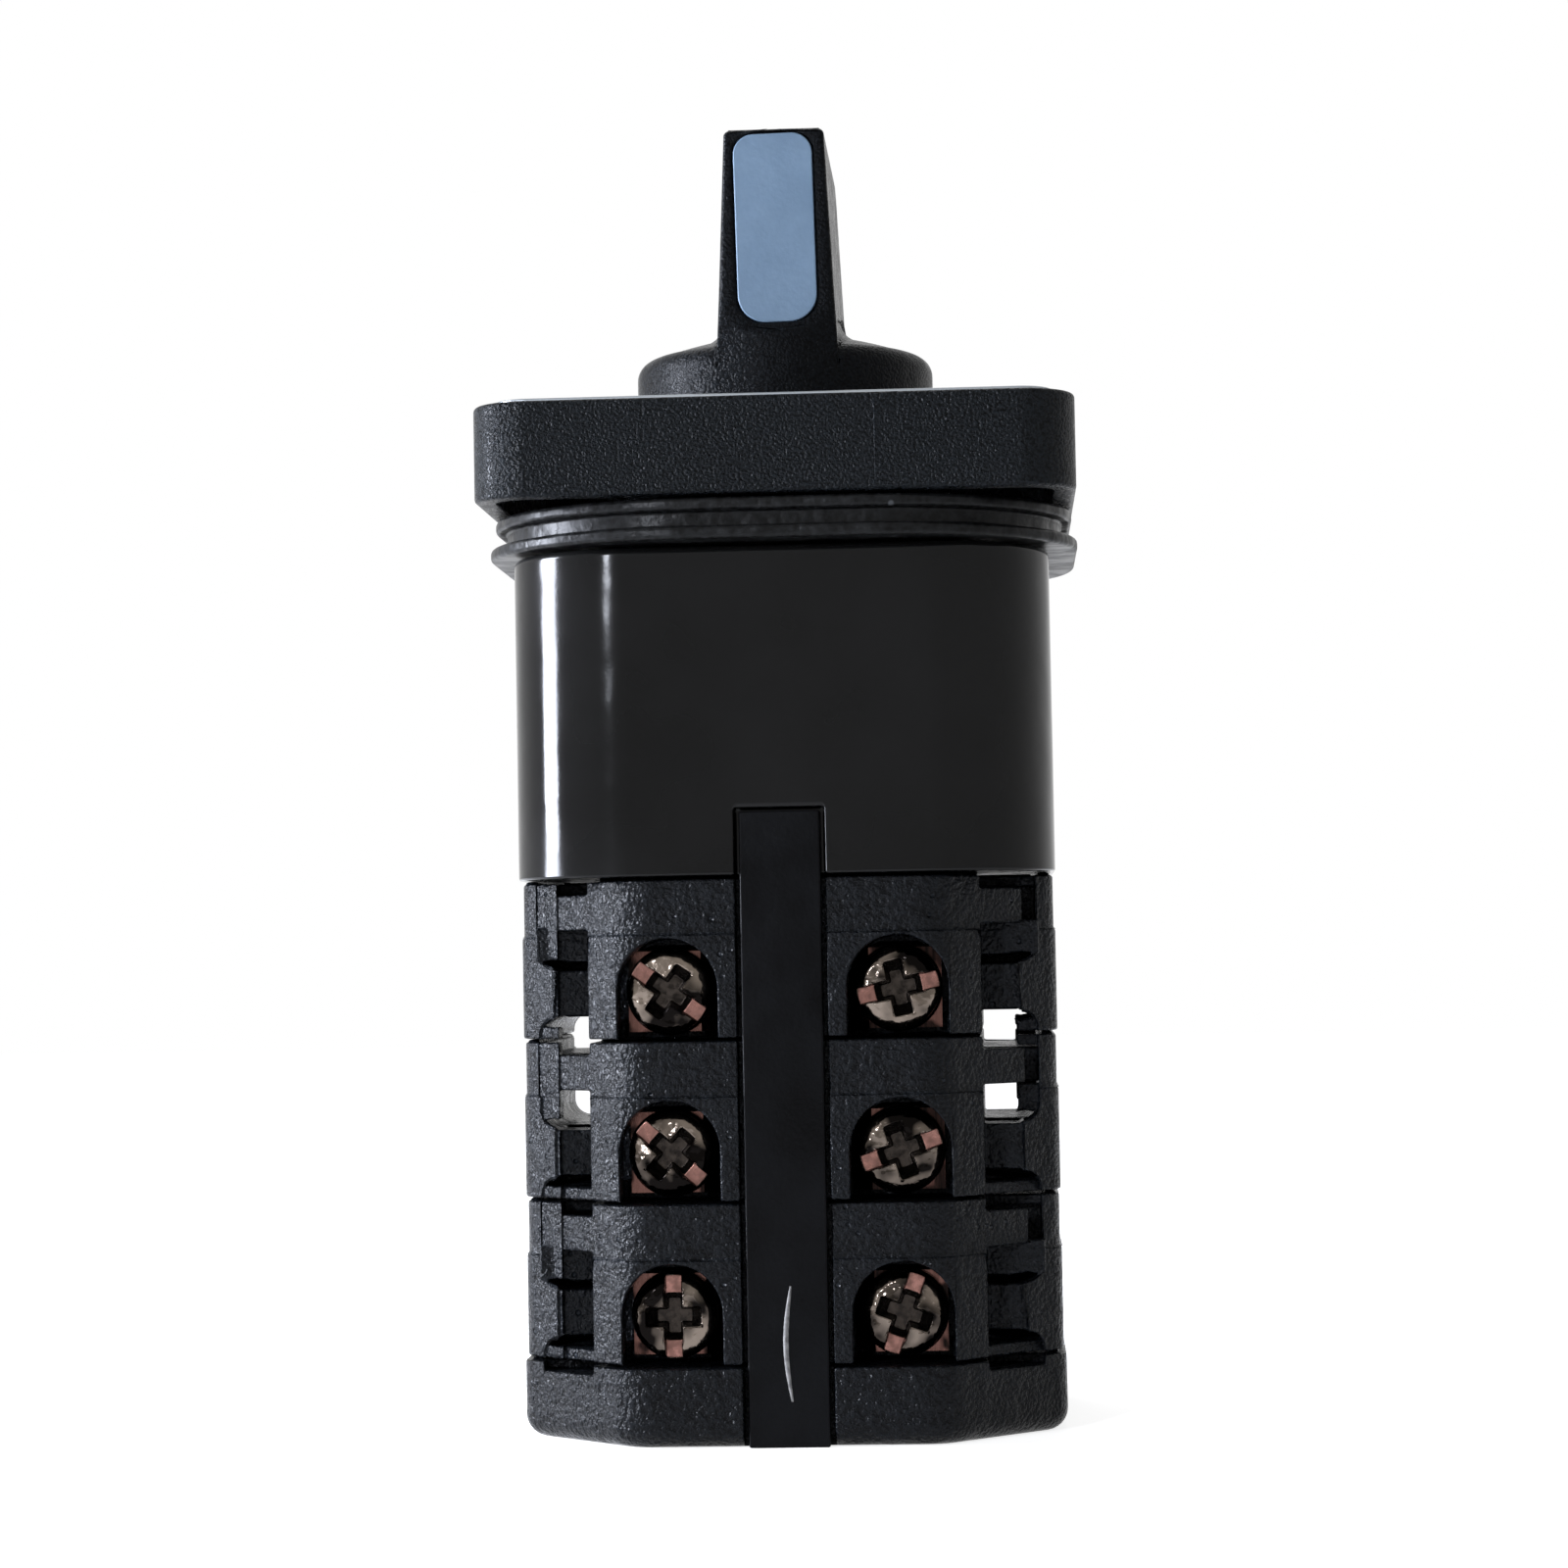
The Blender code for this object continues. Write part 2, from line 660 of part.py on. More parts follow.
def make_deck(stopped):
    """One moulded contact deck, open at the bottom, with its roof on top."""
    body = prism("deck", [cut_square(BODY_HALF)], 0, DECK_HEIGHT)
    body = joined(body, locating_ribs(DECK_HEIGHT), "UNION")
    chamber = ring(CAM_MEAN_RADIUS + CONTACT_STROKE + CAM_CHAMBER_MARGIN, ROUND_SIDES)
    roof_top = DECK_HEIGHT + OVERCUT
    tools = [
        prism("cam_chamber", [chamber], -OVERCUT, DECK_CEILING),
        prism("shaft_hole", [ring(SHAFT_HOLE_RADIUS, BORE_SIDES)], 0, roof_top),
    ]
    tools += bolt_holes(-OVERCUT, roof_top)
    tools += strap_grooves(-OVERCUT, roof_top, BODY_HALF)
    tools += rib_grooves(0)
    guide = FOLLOWER_HALF + CLEARANCE
    bridge_in = CONTACT_X - STRIP_THICKNESS / 2
    bridge_out = BRIDGE_X + BRIDGE_THICKNESS / 2 + CONTACT_STROKE + CLEARANCE
    bridge_y = BRIDGE_HALF_LENGTH + CLEARANCE
    bridge_top = SCREW_HEIGHT + STRIP_HEIGHT / 2 + CLEARANCE
    for side in (-1, 1):
        tools.append(
            block(
                "follower_guide",
                (side * CAM_MEAN_RADIUS, -guide, -OVERCUT),
                (side * FOLLOWER_BORE_END, guide, DECK_CEILING),
            )
        )
        tools.append(
            block(
                "bridge_chamber",
                (side * bridge_in, -bridge_y, -OVERCUT),
                (side * bridge_out, bridge_y, bridge_top),
            )
        )
        tools += side_channels(side, stopped)
        for end in (-1, 1):
            tools += wire_entry(side, end)
            tools += terminal_pocket(side, end)
    return joined(body, tools)


def make_cover():
    """Back cover that closes the lowest deck and seats the shaft and the tie bolts."""
    half = BODY_HALF + COVER_LIP
    height = COVER_PITCH - CLEARANCE
    body = prism("cover", [cut_square(half)], 0, height)
    bevelled(body, COVER_EDGE_RADIUS, EDGE_STEPS, level(0))
    body = joined(body, locating_ribs(height), "UNION")
    above = height + OVERCUT
    tools = [prism("shaft_seat", [ring(SHAFT_HOLE_RADIUS, BORE_SIDES)], COVER_FLOOR, above)]
    tools += bolt_holes(-OVERCUT, above)
    tools += strap_grooves(-OVERCUT, above, half)
    well = BOLT_HEAD_RECESS + BOLT_HEAD_HEIGHT + CLEARANCE
    notch_y = BODY_HALF - BODY_CHAMFER
    for end in (-1, 1):
        sink = ring(BOLT_HEAD_RADIUS + CLEARANCE, BORE_SIDES, (0, end * BOLT_Y))
        tools.append(prism("head_well", [sink], -OVERCUT, well))
        for side in (-1, 1):
            tools.append(
                block(
                    "cover_notch",
                    (side * CHANNEL_INNER, end * notch_y, height - COVER_NOTCH),
                    (side * CHANNEL_OUTER, end * (half + OVERCUT), above),
                )
            )
    return joined(body, tools)


def make_housing():
    """Mechanism housing: a moulded block over the detent, with the boss that enters the bezel."""
    body = prism("housing", [rounded_square(HOUSING_HALF, HOUSING_CORNER)], STACK_TOP, HOUSING_TOP)
    bevelled(body, HOUSING_EDGE, CAP_STEPS, level(HOUSING_TOP))
    boss = prism("boss", [rounded_square(BOSS_HALF, BOSS_CORNER, EDGE_STEPS)], WHEEL_TOP, BOSS_TOP)
    body = joined(body, [boss], "UNION")
    below = STACK_TOP - OVERCUT
    ceiling = WHEEL_TOP + CLEARANCE
    guide = SLIDER_HALF + CLEARANCE
    bearing = ring(JOURNAL_RADIUS + CLEARANCE, BORE_SIDES)
    tools = [
        prism("wheel_chamber", [ring(WHEEL_RADIUS + CAM_CHAMBER_MARGIN, ROUND_SIDES)], below, ceiling),
        prism("bearing", [bearing], WHEEL_TOP, BOSS_TOP + OVERCUT),
    ]
    tools += bolt_holes(below, STACK_TOP + BOLT_THREAD + CLEARANCE)
    tools += strap_grooves(below, STACK_TOP + STRAP_LAP + CLEARANCE, HOUSING_HALF)
    tools += rib_grooves(STACK_TOP)
    for side in (-1, 1):
        tools.append(
            block(
                "slider_guide",
                (side * DETENT_NOSE_RADIUS, -guide, below),
                (side * SLIDER_BORE_END, guide, ceiling),
            )
        )
    return joined(body, tools)


def make_gasket():
    """Rubber seal: a flat ring with a lower and an upper lip, swept round the square of the panel hole."""
    inner_half = BOSS_HALF + CLEARANCE
    path_half = (GASKET_HALF + inner_half) / 2
    reach = GASKET_HALF - path_half
    groove = reach - GASKET_GROOVE
    upper = reach - GASKET_UPPER_STEP
    upper_foot = GASKET_THICKNESS - GASKET_LIP_HEIGHT
    profile = rounded(
        [
            (-reach, 0, 0),
            (reach, 0, GASKET_LIP_RADIUS),
            (reach, GASKET_LIP_HEIGHT, GASKET_LIP_RADIUS),
            (groove, GASKET_LIP_HEIGHT, 0),
            (groove, upper_foot, 0),
            (upper, upper_foot, GASKET_LIP_RADIUS),
            (upper, GASKET_THICKNESS, GASKET_LIP_RADIUS),
            (-reach, GASKET_THICKNESS, 0),
        ],
        BEND_STEPS,
    )
    section = bpy.data.curves.new("gasket_section", "CURVE")
    section.dimensions = "2D"
    loop = section.splines.new("POLY")
    loop.points.add(len(profile) - 1)
    loop.use_cyclic_u = True
    for point, (out, up) in zip(loop.points, profile):
        point.co = (-out, up, 0, 1)
    section_item = stage("gasket_section", section)
    sweep = bpy.data.curves.new("gasket", "CURVE")
    sweep.dimensions = "2D"
    sweep.fill_mode = "NONE"
    sweep.bevel_mode = "OBJECT"
    sweep.bevel_object = section_item
    route = sweep.splines.new("POLY")
    square_route = rounded_square(path_half, GASKET_CORNER - reach)
    route.points.add(len(square_route) - 1)
    route.use_cyclic_u = True
    for point, (x, y) in zip(route.points, square_route):
        point.co = (x, y, 0, 1)
    item = stage("gasket", sweep)
    item.location.z = GASKET_BOTTOM
    solid = stage("gasket", mesh_of(item))
    bpy.data.objects.remove(section_item, do_unlink=True)
    return solid


def make_bezel():
    """Square front frame: a hollow skirt round a hub that stands on the housing's boss."""
    outline = rounded_square(BEZEL_HALF, BEZEL_CORNER)
    body = prism("bezel", [outline], BEZEL_BOTTOM, BEZEL_TOP)
    bevelled(body, BEZEL_EDGE, CAP_STEPS, level(BEZEL_TOP))
    bevelled(body, BEZEL_EDGE, BEND_STEPS, level(BEZEL_BOTTOM))
    below = BEZEL_BOTTOM - OVERCUT
    inside = rounded_square(BEZEL_HALF - BEZEL_WALL, BEZEL_CORNER - BEZEL_WALL, EDGE_STEPS)
    hub = rounded_square(BEZEL_HUB_HALF, BOSS_CORNER - (BOSS_HALF - BEZEL_HUB_HALF), EDGE_STEPS)
    recess = rounded_square(BEZEL_HALF - LEGEND_RIM, BEZEL_CORNER - LEGEND_RIM, EDGE_STEPS)
    tools = [
        prism("skirt_hollow", [inside, hub], below, BEZEL_CEILING),
        prism("hub_foot", [rounded_square(BOSS_HALF, BOSS_CORNER, EDGE_STEPS)], below, HUB_BOTTOM),
        prism("legend_recess", [recess], LEGEND_BOTTOM - CLEARANCE, BEZEL_TOP + OVERCUT),
        prism("knob_hole", [ring(KNOB_HUB_RADIUS + CLEARANCE, ROUND_SIDES)], below, BEZEL_TOP),
    ]
    return joined(body, tools)


def make_legend_plate():
    """Thin plate let into the bezel's face."""
    edge = LEGEND_RIM + SNUG
    outline = rounded_square(BEZEL_HALF - edge, BEZEL_CORNER - edge, EDGE_STEPS)
    hole = ring(KNOB_HUB_RADIUS + CLEARANCE, ROUND_SIDES)
    return prism("legend", [outline, hole], LEGEND_BOTTOM, LEGEND_TOP)


def cap(radius, foot, rise, steps):
    """Upper half of an (r, z) profile: a shallow cap, from its top to the rim of its foot."""
    shares = [step / steps for step in range(steps + 1)]
    return [(radius * share, foot + rise * (1 - share * share)) for share in shares]


def handle_half(height):
    """Half width of the handle at a height on its tapered sides."""
    taper = (HANDLE_FOOT_HALF - HANDLE_TOP_HALF) / (KNOB_TOP - SKIRT_TOP)
    return HANDLE_TOP_HALF + taper * (KNOB_TOP - height)


def make_knob_disc():
    """Disc of the knob, with a rounded shoulder under its cap and a hub that enters the bezel."""
    profile = cap(DOME_RADIUS, DOME_FOOT, KNOB_DOME, EDGE_STEPS)
    for step in range(1, EDGE_STEPS + 1):
        turn = math.pi / 2 * step / EDGE_STEPS
        radius = DOME_RADIUS + KNOB_SHOULDER * math.sin(turn)
        profile.append((radius, SKIRT_TOP + KNOB_SHOULDER * math.cos(turn)))
    profile += [
        (KNOB_RADIUS, KNOB_BOTTOM),
        (KNOB_HUB_RADIUS, KNOB_BOTTOM),
        (KNOB_HUB_RADIUS, HUB_BOTTOM),
        (0, HUB_BOTTOM),
    ]
    return turned("knob_disc", profile, ROUND_SIDES)


def make_handle():
    """Tapered bar across the disc. The foot of each end spreads to the disc's rim."""
    half = handle_half(KNOB_FOOT)
    front = rounded(
        [
            (half, KNOB_FOOT, 0),
            (HANDLE_TOP_HALF, KNOB_TOP, HANDLE_EDGE_RADIUS),
            (-HANDLE_TOP_HALF, KNOB_TOP, HANDLE_EDGE_RADIUS),
            (-half, KNOB_FOOT, 0),
        ],
        EDGE_STEPS,
    )
    toe_y = HANDLE_END + HANDLE_TOE + OVERCUT
    side = rounded(
        [
            (-toe_y, KNOB_FOOT, 0),
            (-toe_y, DOME_FOOT, 0),
            (-HANDLE_END, DOME_FOOT, HANDLE_TOE),
            (-HANDLE_END, KNOB_TOP, HANDLE_EDGE_RADIUS),
            (HANDLE_END, KNOB_TOP, HANDLE_END_RADIUS),
            (HANDLE_END, DOME_FOOT, HANDLE_TOE),
            (toe_y, DOME_FOOT, 0),
            (toe_y, KNOB_FOOT, 0),
        ],
        EDGE_STEPS,
    )
    top = KNOB_TOP + OVERCUT
    rim = KNOB_RADIUS - INSERT_PROUD
    drum = turned("handle_rim", [(0, top), (rim, top), (rim, KNOB_FOOT), (0, KNOB_FOOT)], ROUND_SIDES)
    handle = prism("handle", [side], -KNOB_RADIUS, KNOB_RADIUS, "X")
    handle = joined(handle, [prism("handle_front", [front], -toe_y, toe_y, "Y")], "INTERSECT")
    return joined(handle, [drum], "INTERSECT")


def make_root():
    """Fillet between the handle's sides and the disc: it dies into the cap towards the handle's ends."""
    wide = handle_half(DOME_FOOT) + HANDLE_FLARE
    toe = DOME_FOOT + KNOB_DOME * (1 - (wide / DOME_RADIUS) ** 2)
    top = toe + HANDLE_FLARE
    half = handle_half(top) - SNUG
    right = [
        (wide, KNOB_FOOT, 0),
        (wide, toe, 0),
        (half, toe, wide - half - SNUG),
        (half, top + SNUG, 0),
    ]
    left = [(-x, z, radius) for x, z, radius in reversed(right)]
    outline = rounded(right + left, EDGE_STEPS)
    mound_radius = DOME_RADIUS - SNUG
    mound = cap(mound_radius, DOME_FOOT, KNOB_DOME + HANDLE_FLARE, CORNER_STEPS)
    mound += [(mound_radius, KNOB_FOOT), (0, KNOB_FOOT)]
    root = turned("handle_root", mound, ROUND_SIDES)
    return joined(root, [prism("root_front", [outline], -KNOB_RADIUS, KNOB_RADIUS, "Y")], "INTERSECT")


def make_knob():
    """Bar knob: a domed disc on a hub, with a tapered handle across it and a pocket for its insert."""
    knob = joined(make_knob_disc(), [make_handle(), make_root()], "UNION")
    pocket = stadium(INSERT_Z, INSERT_WIDTH + 2 * SNUG, INSERT_LENGTH + 2 * SNUG)
    pocket_floor = -HANDLE_END - INSERT_PROUD + INSERT_DEPTH + CLEARANCE
    shank = ring(KNOB_SCREW_RADIUS + CLEARANCE, SMALL_SIDES)
    well = ring(KNOB_SCREW_HEAD_RADIUS + CLEARANCE, BORE_SIDES)
    tools = [
        prism("insert_pocket", [pocket], -KNOB_RADIUS - OVERCUT, pocket_floor, "Y"),
        prism("socket", [square(SHAFT_HALF + CLEARANCE)], HUB_BOTTOM - OVERCUT, SHAFT_TOP + CLEARANCE),
        prism("screw_hole", [shank], SHAFT_TOP, KNOB_SEAT + OVERCUT),
        prism("screw_well", [well], KNOB_SEAT, KNOB_TOP + OVERCUT),
    ]
    return joined(knob, tools)


def make_insert():
    """Stadium insert for the pointing end of the handle."""
    outline = stadium(INSERT_Z, INSERT_WIDTH, INSERT_LENGTH)
    front = -HANDLE_END - INSERT_PROUD
    return prism("insert", [outline], front, front + INSERT_DEPTH, "Y")


def make_knob_screw():
    """Cheese-head screw that holds the knob on the shaft."""
    low = KNOB_SCREW_SEAT
    profile = [
        (0, low + KNOB_SCREW_HEAD_HEIGHT),
        (KNOB_SCREW_HEAD_RADIUS, low + KNOB_SCREW_HEAD_HEIGHT),
        (KNOB_SCREW_HEAD_RADIUS, low),
        (KNOB_SCREW_RADIUS, low),
        (KNOB_SCREW_RADIUS, low - KNOB_SCREW_LENGTH),
        (0, low - KNOB_SCREW_LENGTH),
    ]
    return turned("knob_screw", profile, SMALL_SIDES)


def make_shaft():
    """Square drive shaft with a round journal in the housing's bearing and a tapped top end."""
    foot = COVER_FLOOR + CLEARANCE
    shaft = prism("shaft", [square(SHAFT_HALF)], foot, SHAFT_TOP)
    journal = prism("journal", [ring(JOURNAL_RADIUS, BORE_SIDES)], WHEEL_TOP + 2 * CLEARANCE, BOSS_TOP)
    shaft = joined(shaft, [journal], "UNION")
    depth = KNOB_SCREW_SEAT - KNOB_SCREW_LENGTH - CLEARANCE
    hole = ring(KNOB_SCREW_RADIUS + CLEARANCE, SMALL_SIDES)
    return joined(shaft, [prism("tapped_hole", [hole], depth, SHAFT_TOP + OVERCUT)])


def cam_radius(angle):
    """Cam radius at an angle from +X: one rise and one fall, with a dwell after each."""
    rise = CONTACT_STROKE / TURN_STEP
    wrapped = (angle + TURN_STEP) % (2 * math.pi) - TURN_STEP
    if wrapped <= TURN_STEP:
        return CAM_MEAN_RADIUS + rise * wrapped
    if wrapped <= 2 * TURN_STEP:
        return CAM_MEAN_RADIUS + CONTACT_STROKE
    if wrapped <= 4 * TURN_STEP:
        return CAM_MEAN_RADIUS + rise * (math.pi - wrapped)
    return CAM_MEAN_RADIUS - CONTACT_STROKE


def make_cam():
    """Contact cam, bored square for the shaft, centred on its own height."""
    turns = [2 * math.pi * step / CAM_SIDES for step in range(CAM_SIDES)]
    outline = [(cam_radius(turn) * math.cos(turn), cam_radius(turn) * math.sin(turn)) for turn in turns]
    bore = square(SHAFT_HALF + CLEARANCE)
    return prism("cam", [outline, bore], -CAM_HEIGHT / 2, CAM_HEIGHT / 2)


def make_wheel():
    """Detent wheel with a round notch for each place that the knob can stop at."""
    seat = SLIDER_NOSE_X - DETENT_TRAVEL
    notch = DETENT_NOSE_RADIUS + CLEARANCE
    half_span = math.acos((seat**2 + WHEEL_RADIUS**2 - notch**2) / (2 * seat * WHEEL_RADIUS))
    edge_y = WHEEL_RADIUS * math.sin(half_span)
    half_sweep = math.asin(edge_y / notch)
    pitch = 2 * math.pi / NOTCHES
    outline = []
    for index in range(NOTCHES):
        spin = Matrix.Rotation(index * pitch, 2)
        for step in range(CORNER_STEPS):
            sweep = math.pi + half_sweep * (1 - 2 * step / (CORNER_STEPS - 1))
            cut = Vector((seat + notch * math.cos(sweep), notch * math.sin(sweep)))
            outline.append(tuple(spin @ cut))
        for step in range(1, EDGE_STEPS + 1):
            turn = half_span + (pitch - 2 * half_span) * step / (EDGE_STEPS + 1)
            rim = WHEEL_RADIUS * Vector((math.cos(turn), math.sin(turn)))
            outline.append(tuple(spin @ rim))
    return prism("wheel", [outline, square(SHAFT_HALF + CLEARANCE)], WHEEL_BOTTOM, WHEEL_TOP)


def nosed_outline(radius, neck, half, end):
    """Plan of a slider that points to -X: a round nose at the origin, a neck and a wider body."""
    points = []
    for step in range(CORNER_STEPS + 1):
        turn = math.pi / 2 + math.pi * step / CORNER_STEPS
        points.append((radius * math.cos(turn), radius * math.sin(turn)))
    points += [(neck, -radius), (neck, -half), (end, -half), (end, half), (neck, half), (neck, radius)]
    return points


def make_follower():
    """Cam follower, with its nose at the origin and a notch below that holds the contact bridge."""
    height = DECK_CEILING - 2 * CLEARANCE
    end = FOLLOWER_END - NOSE_X
    body = prism("follower", [nosed_outline(NOSE_RADIUS, NOSE_LENGTH, FOLLOWER_HALF, end)], 0, height)
    notch_x = BRIDGE_X - NOSE_X
    half = BRIDGE_THICKNESS / 2 + CLEARANCE
    reach = FOLLOWER_HALF + OVERCUT
    top = SCREW_HEIGHT + BRIDGE_HEIGHT / 2
    notch = block("bridge_notch", (notch_x - half, -reach, -OVERCUT), (notch_x + half, reach, top))
    return joined(body, [notch])


def make_bridge():
    """Contact bridge, a plain bar that laps both contact tips."""
    return block(
        "bridge",
        (-BRIDGE_THICKNESS / 2, -BRIDGE_HALF_LENGTH, -BRIDGE_HEIGHT / 2),
        (BRIDGE_THICKNESS / 2, BRIDGE_HALF_LENGTH, BRIDGE_HEIGHT / 2),
    )


def make_slider():
    """Detent slider, with its nose at the origin and a blind bore behind for its spring."""
    end = SLIDER_END - SLIDER_NOSE_X
    outline = nosed_outline(DETENT_NOSE_RADIUS, DETENT_NOSE_RADIUS / 2, SLIDER_HALF, end)
    body = prism("slider", [outline], -WHEEL_HEIGHT / 2, WHEEL_HEIGHT / 2)
    bore = prism("spring_bore", [ring(SPRING_BORE_RADIUS, SMALL_SIDES)], 0, end + OVERCUT, "X")
    return joined(body, [bore])


def make_spring():
    """Detent spring along +X from the origin, between the slider's bore and the housing wall."""
    length = SLIDER_BORE_END - SLIDER_NOSE_X - 2 * (CLEARANCE + SPRING_WIRE_RADIUS)
    count = SPRING_TURNS * COIL_SIDES
    curve = bpy.data.curves.new("spring", "CURVE")
    curve.dimensions = "3D"
    curve.bevel_depth = SPRING_WIRE_RADIUS
    curve.bevel_resolution = BEND_STEPS
    curve.use_fill_caps = True
    spline = curve.splines.new("POLY")
    spline.points.add(count)
    for index, point in enumerate(spline.points):
        turn = 2 * math.pi * index / COIL_SIDES
        x = CLEARANCE + SPRING_WIRE_RADIUS + length * index / count
        point.co = (x, SPRING_RADIUS * math.cos(turn), SPRING_RADIUS * math.sin(turn), 1)
    return stage("spring", mesh_of(stage("spring", curve)))


def make_strip():
    """Terminal strip with its screw hole at the origin, for the +X and +Y quarter."""
    path = [(x - SCREW_X, y - PAD_Y) for x, y in strip_path()]
    body = ribbon("strip", path, STRIP_THICKNESS, -STRIP_HEIGHT / 2, STRIP_HEIGHT / 2)
    hole = ring(SCREW_SHANK_RADIUS + CLEARANCE, SMALL_SIDES)
    return joined(body, [prism("screw_hole", [hole], -STRIP_THICKNESS, STRIP_THICKNESS, "Y")])


def make_terminal_screw():
    """Terminal screw and its clamp washer, turned about Z with the face of the washer at the origin."""
    washer = WASHER_THICKNESS
    head = washer + SCREW_HEAD_HEIGHT
    profile = cap(SCREW_HEAD_RADIUS, head, SCREW_DOME, CAP_STEPS)
    profile += [
        (SCREW_HEAD_RADIUS, washer),
        (WASHER_RADIUS, washer),
        (WASHER_RADIUS, 0),
        (SCREW_SHANK_RADIUS, 0),
        (SCREW_SHANK_RADIUS, -SCREW_SHANK_LENGTH),
        (0, -SCREW_SHANK_LENGTH),
    ]
    return turned("terminal_screw", profile, SCREW_SIDES)


def make_tie_bolt():
    """Tie bolt, standing head down."""
    seat = BOLT_HEAD_RECESS + BOLT_HEAD_HEIGHT
    profile = [
        (0, STACK_TOP + BOLT_THREAD),
        (BOLT_RADIUS, STACK_TOP + BOLT_THREAD),
        (BOLT_RADIUS, seat),
        (BOLT_HEAD_RADIUS, seat),
        (BOLT_HEAD_RADIUS, BOLT_HEAD_RECESS),
        (0, BOLT_HEAD_RECESS),
    ]
    return turned("tie_bolt", profile, SMALL_SIDES)


def make_strap():
    """Cover strap for the groove in the +Y face, its outside flush with the decks."""
    half = STRAP_WIDTH / 2
    inner = BODY_HALF - STRAP_THICKNESS
    return block("strap", (-half, inner, 0), (half, BODY_HALF, STACK_TOP + STRAP_LAP))


def add_fixed_pieces():
    """Place the cover, decks, housing, seal and front."""
    add("back_cover", mesh_from(make_cover(), finish("cover_polyamide", "#14171b", 0.5)))
    moulded = finish("deck_polyamide", "#121518", 0.42)
    open_deck = mesh_from(make_deck(False), moulded)
    stopped_deck = mesh_from(make_deck(True), moulded)
    for index in range(DECKS):
        deck = open_deck if 0 < index < DECKS - 1 else stopped_deck
        add(f"contact_deck_{index + 1}", deck, (0, 0, deck_floor(index)))
    add("mechanism_housing", mesh_from(make_housing(), finish("housing_polyamide", "#0e1012", 0.25)))
    add("panel_gasket", mesh_from(make_gasket(), finish("seal_rubber", "#0b0c0d", 0.2)))
    add("front_bezel", mesh_from(make_bezel(), finish("bezel_polycarbonate", "#15181c", 0.55)))
    add("legend_plate", mesh_from(make_legend_plate(), finish("legend_aluminium", "#7d8287", 0.35, 1.0)))
    bolt = mesh_from(make_tie_bolt(), finish("bolt_steel", "#8a8780", 0.35, 1.0))
    strap = mesh_from(make_strap(), finish("strap_polyamide", "#0d0e11", 0.3))
    for name, side in (("front", -1), ("back", 1)):
        turn = (0, 0, math.pi if side < 0 else 0)
        add(f"tie_bolt_{name}", bolt, (0, side * BOLT_Y, 0))
        add(f"strap_{name}", strap, (0, 0, 0), turn)


def deck_floor(index):
    """Height of a deck's bottom. Deck 1 is the top one."""
    return COVER_PITCH + (DECKS - 1 - index) * DECK_PITCH


def add_terminals():
    """Place a strip and a screw at each corner of each deck, numbered along X and then Y."""
    strip = mesh_from(make_strip(), finish("strip_brass", "#a9814a", 0.35, 1.0))
    screw = mesh_from(make_terminal_screw(), finish("screw_nickel", "#8f857e", 0.18, 1.0))
    number = 0
    for index in range(DECKS):
        height = deck_floor(index) + SCREW_HEIGHT
        for y_sign in (-1, 1):
            for x_sign in (-1, 1):
                number += 1
                flips = (math.pi if y_sign < 0 else 0, math.pi if x_sign < 0 else 0, 0)
                add(f"terminal_strip_{number:02d}", strip, (x_sign * SCREW_X, y_sign * PAD_Y, height), flips)
                place = (x_sign * SCREW_X, y_sign * WASHER_INNER_Y, height)
                add(f"terminal_screw_{number:02d}", screw, place, (-y_sign * math.pi / 2, 0, 0))


def add_drive():
    """Place the pieces that turn with the knob under one empty on the shaft's axis."""
    axis = bpy.data.objects.new("drive_axis", None)
    PARTS.objects.link(axis)
    add("drive_shaft", mesh_from(make_shaft(), finish("shaft_steel", "#9a9a96", 0.3, 1.0)), parent=axis)
    add("detent_wheel", mesh_from(make_wheel(), finish("wheel_acetal", "#d8d4c8", 0.4)), parent=axis)
    cam = mesh_from(make_cam(), finish("cam_acetal", "#c9c5b8", 0.4))
    for index in range(DECKS):
        height = deck_floor(index) + DECK_CEILING / 2
        add(f"cam_{index + 1}", cam, (0, 0, height), parent=axis)
    add("knob", mesh_from(make_knob(), finish("knob_polycarbonate", "#111315", 0.5)), parent=axis)
    insert = mesh_from(make_insert(), finish("insert_polycarbonate", "#7289a0", 0.4))
    add("pointer_insert", insert, parent=axis)
    screw = mesh_from(make_knob_screw(), finish("knob_screw_steel", "#8d8b86", 0.3, 1.0))
    add("knob_screw", screw, parent=axis)


def add_contacts():
    """Place a follower and its contact bridge on each side of each deck."""
    follower = mesh_from(make_follower(), finish("follower_acetal", "#b9482f", 0.45))
    bridge = mesh_from(make_bridge(), finish("bridge_copper", "#a86a45", 0.35, 1.0))
    for index in range(DECKS):
        floor = deck_floor(index)
        for name, side in (("left", -1), ("right", 1)):
            turn = (0, 0, math.pi if side < 0 else 0)
            place = (side * NOSE_X, 0, floor + CLEARANCE)
            add(f"cam_follower_{index + 1}_{name}", follower, place, turn)
            add(f"contact_bridge_{index + 1}_{name}", bridge, (side * BRIDGE_X, 0, floor + SCREW_HEIGHT))


def add_detents():
    """Place the two detent sliders, held up at the wheel's rim, and their springs."""
    slider = mesh_from(make_slider(), finish("slider_acetal", "#3d5a86", 0.4))
    spring = mesh_from(make_spring(), finish("spring_steel", "#a4a39f", 0.3, 1.0))
    height = (WHEEL_BOTTOM + WHEEL_TOP) / 2
    for name, side in (("left", -1), ("right", 1)):
        turn = (0, 0, math.pi if side < 0 else 0)
        place = (side * SLIDER_NOSE_X, 0, height)
        add(f"detent_slider_{name}", slider, place, turn)
        add(f"detent_spring_{name}", spring, place, turn)


def main():
    """Build the whole switch."""
    add_fixed_pieces()
    add_terminals()
    add_drive()
    add_contacts()
    add_detents()
    bpy.context.view_layer.update()


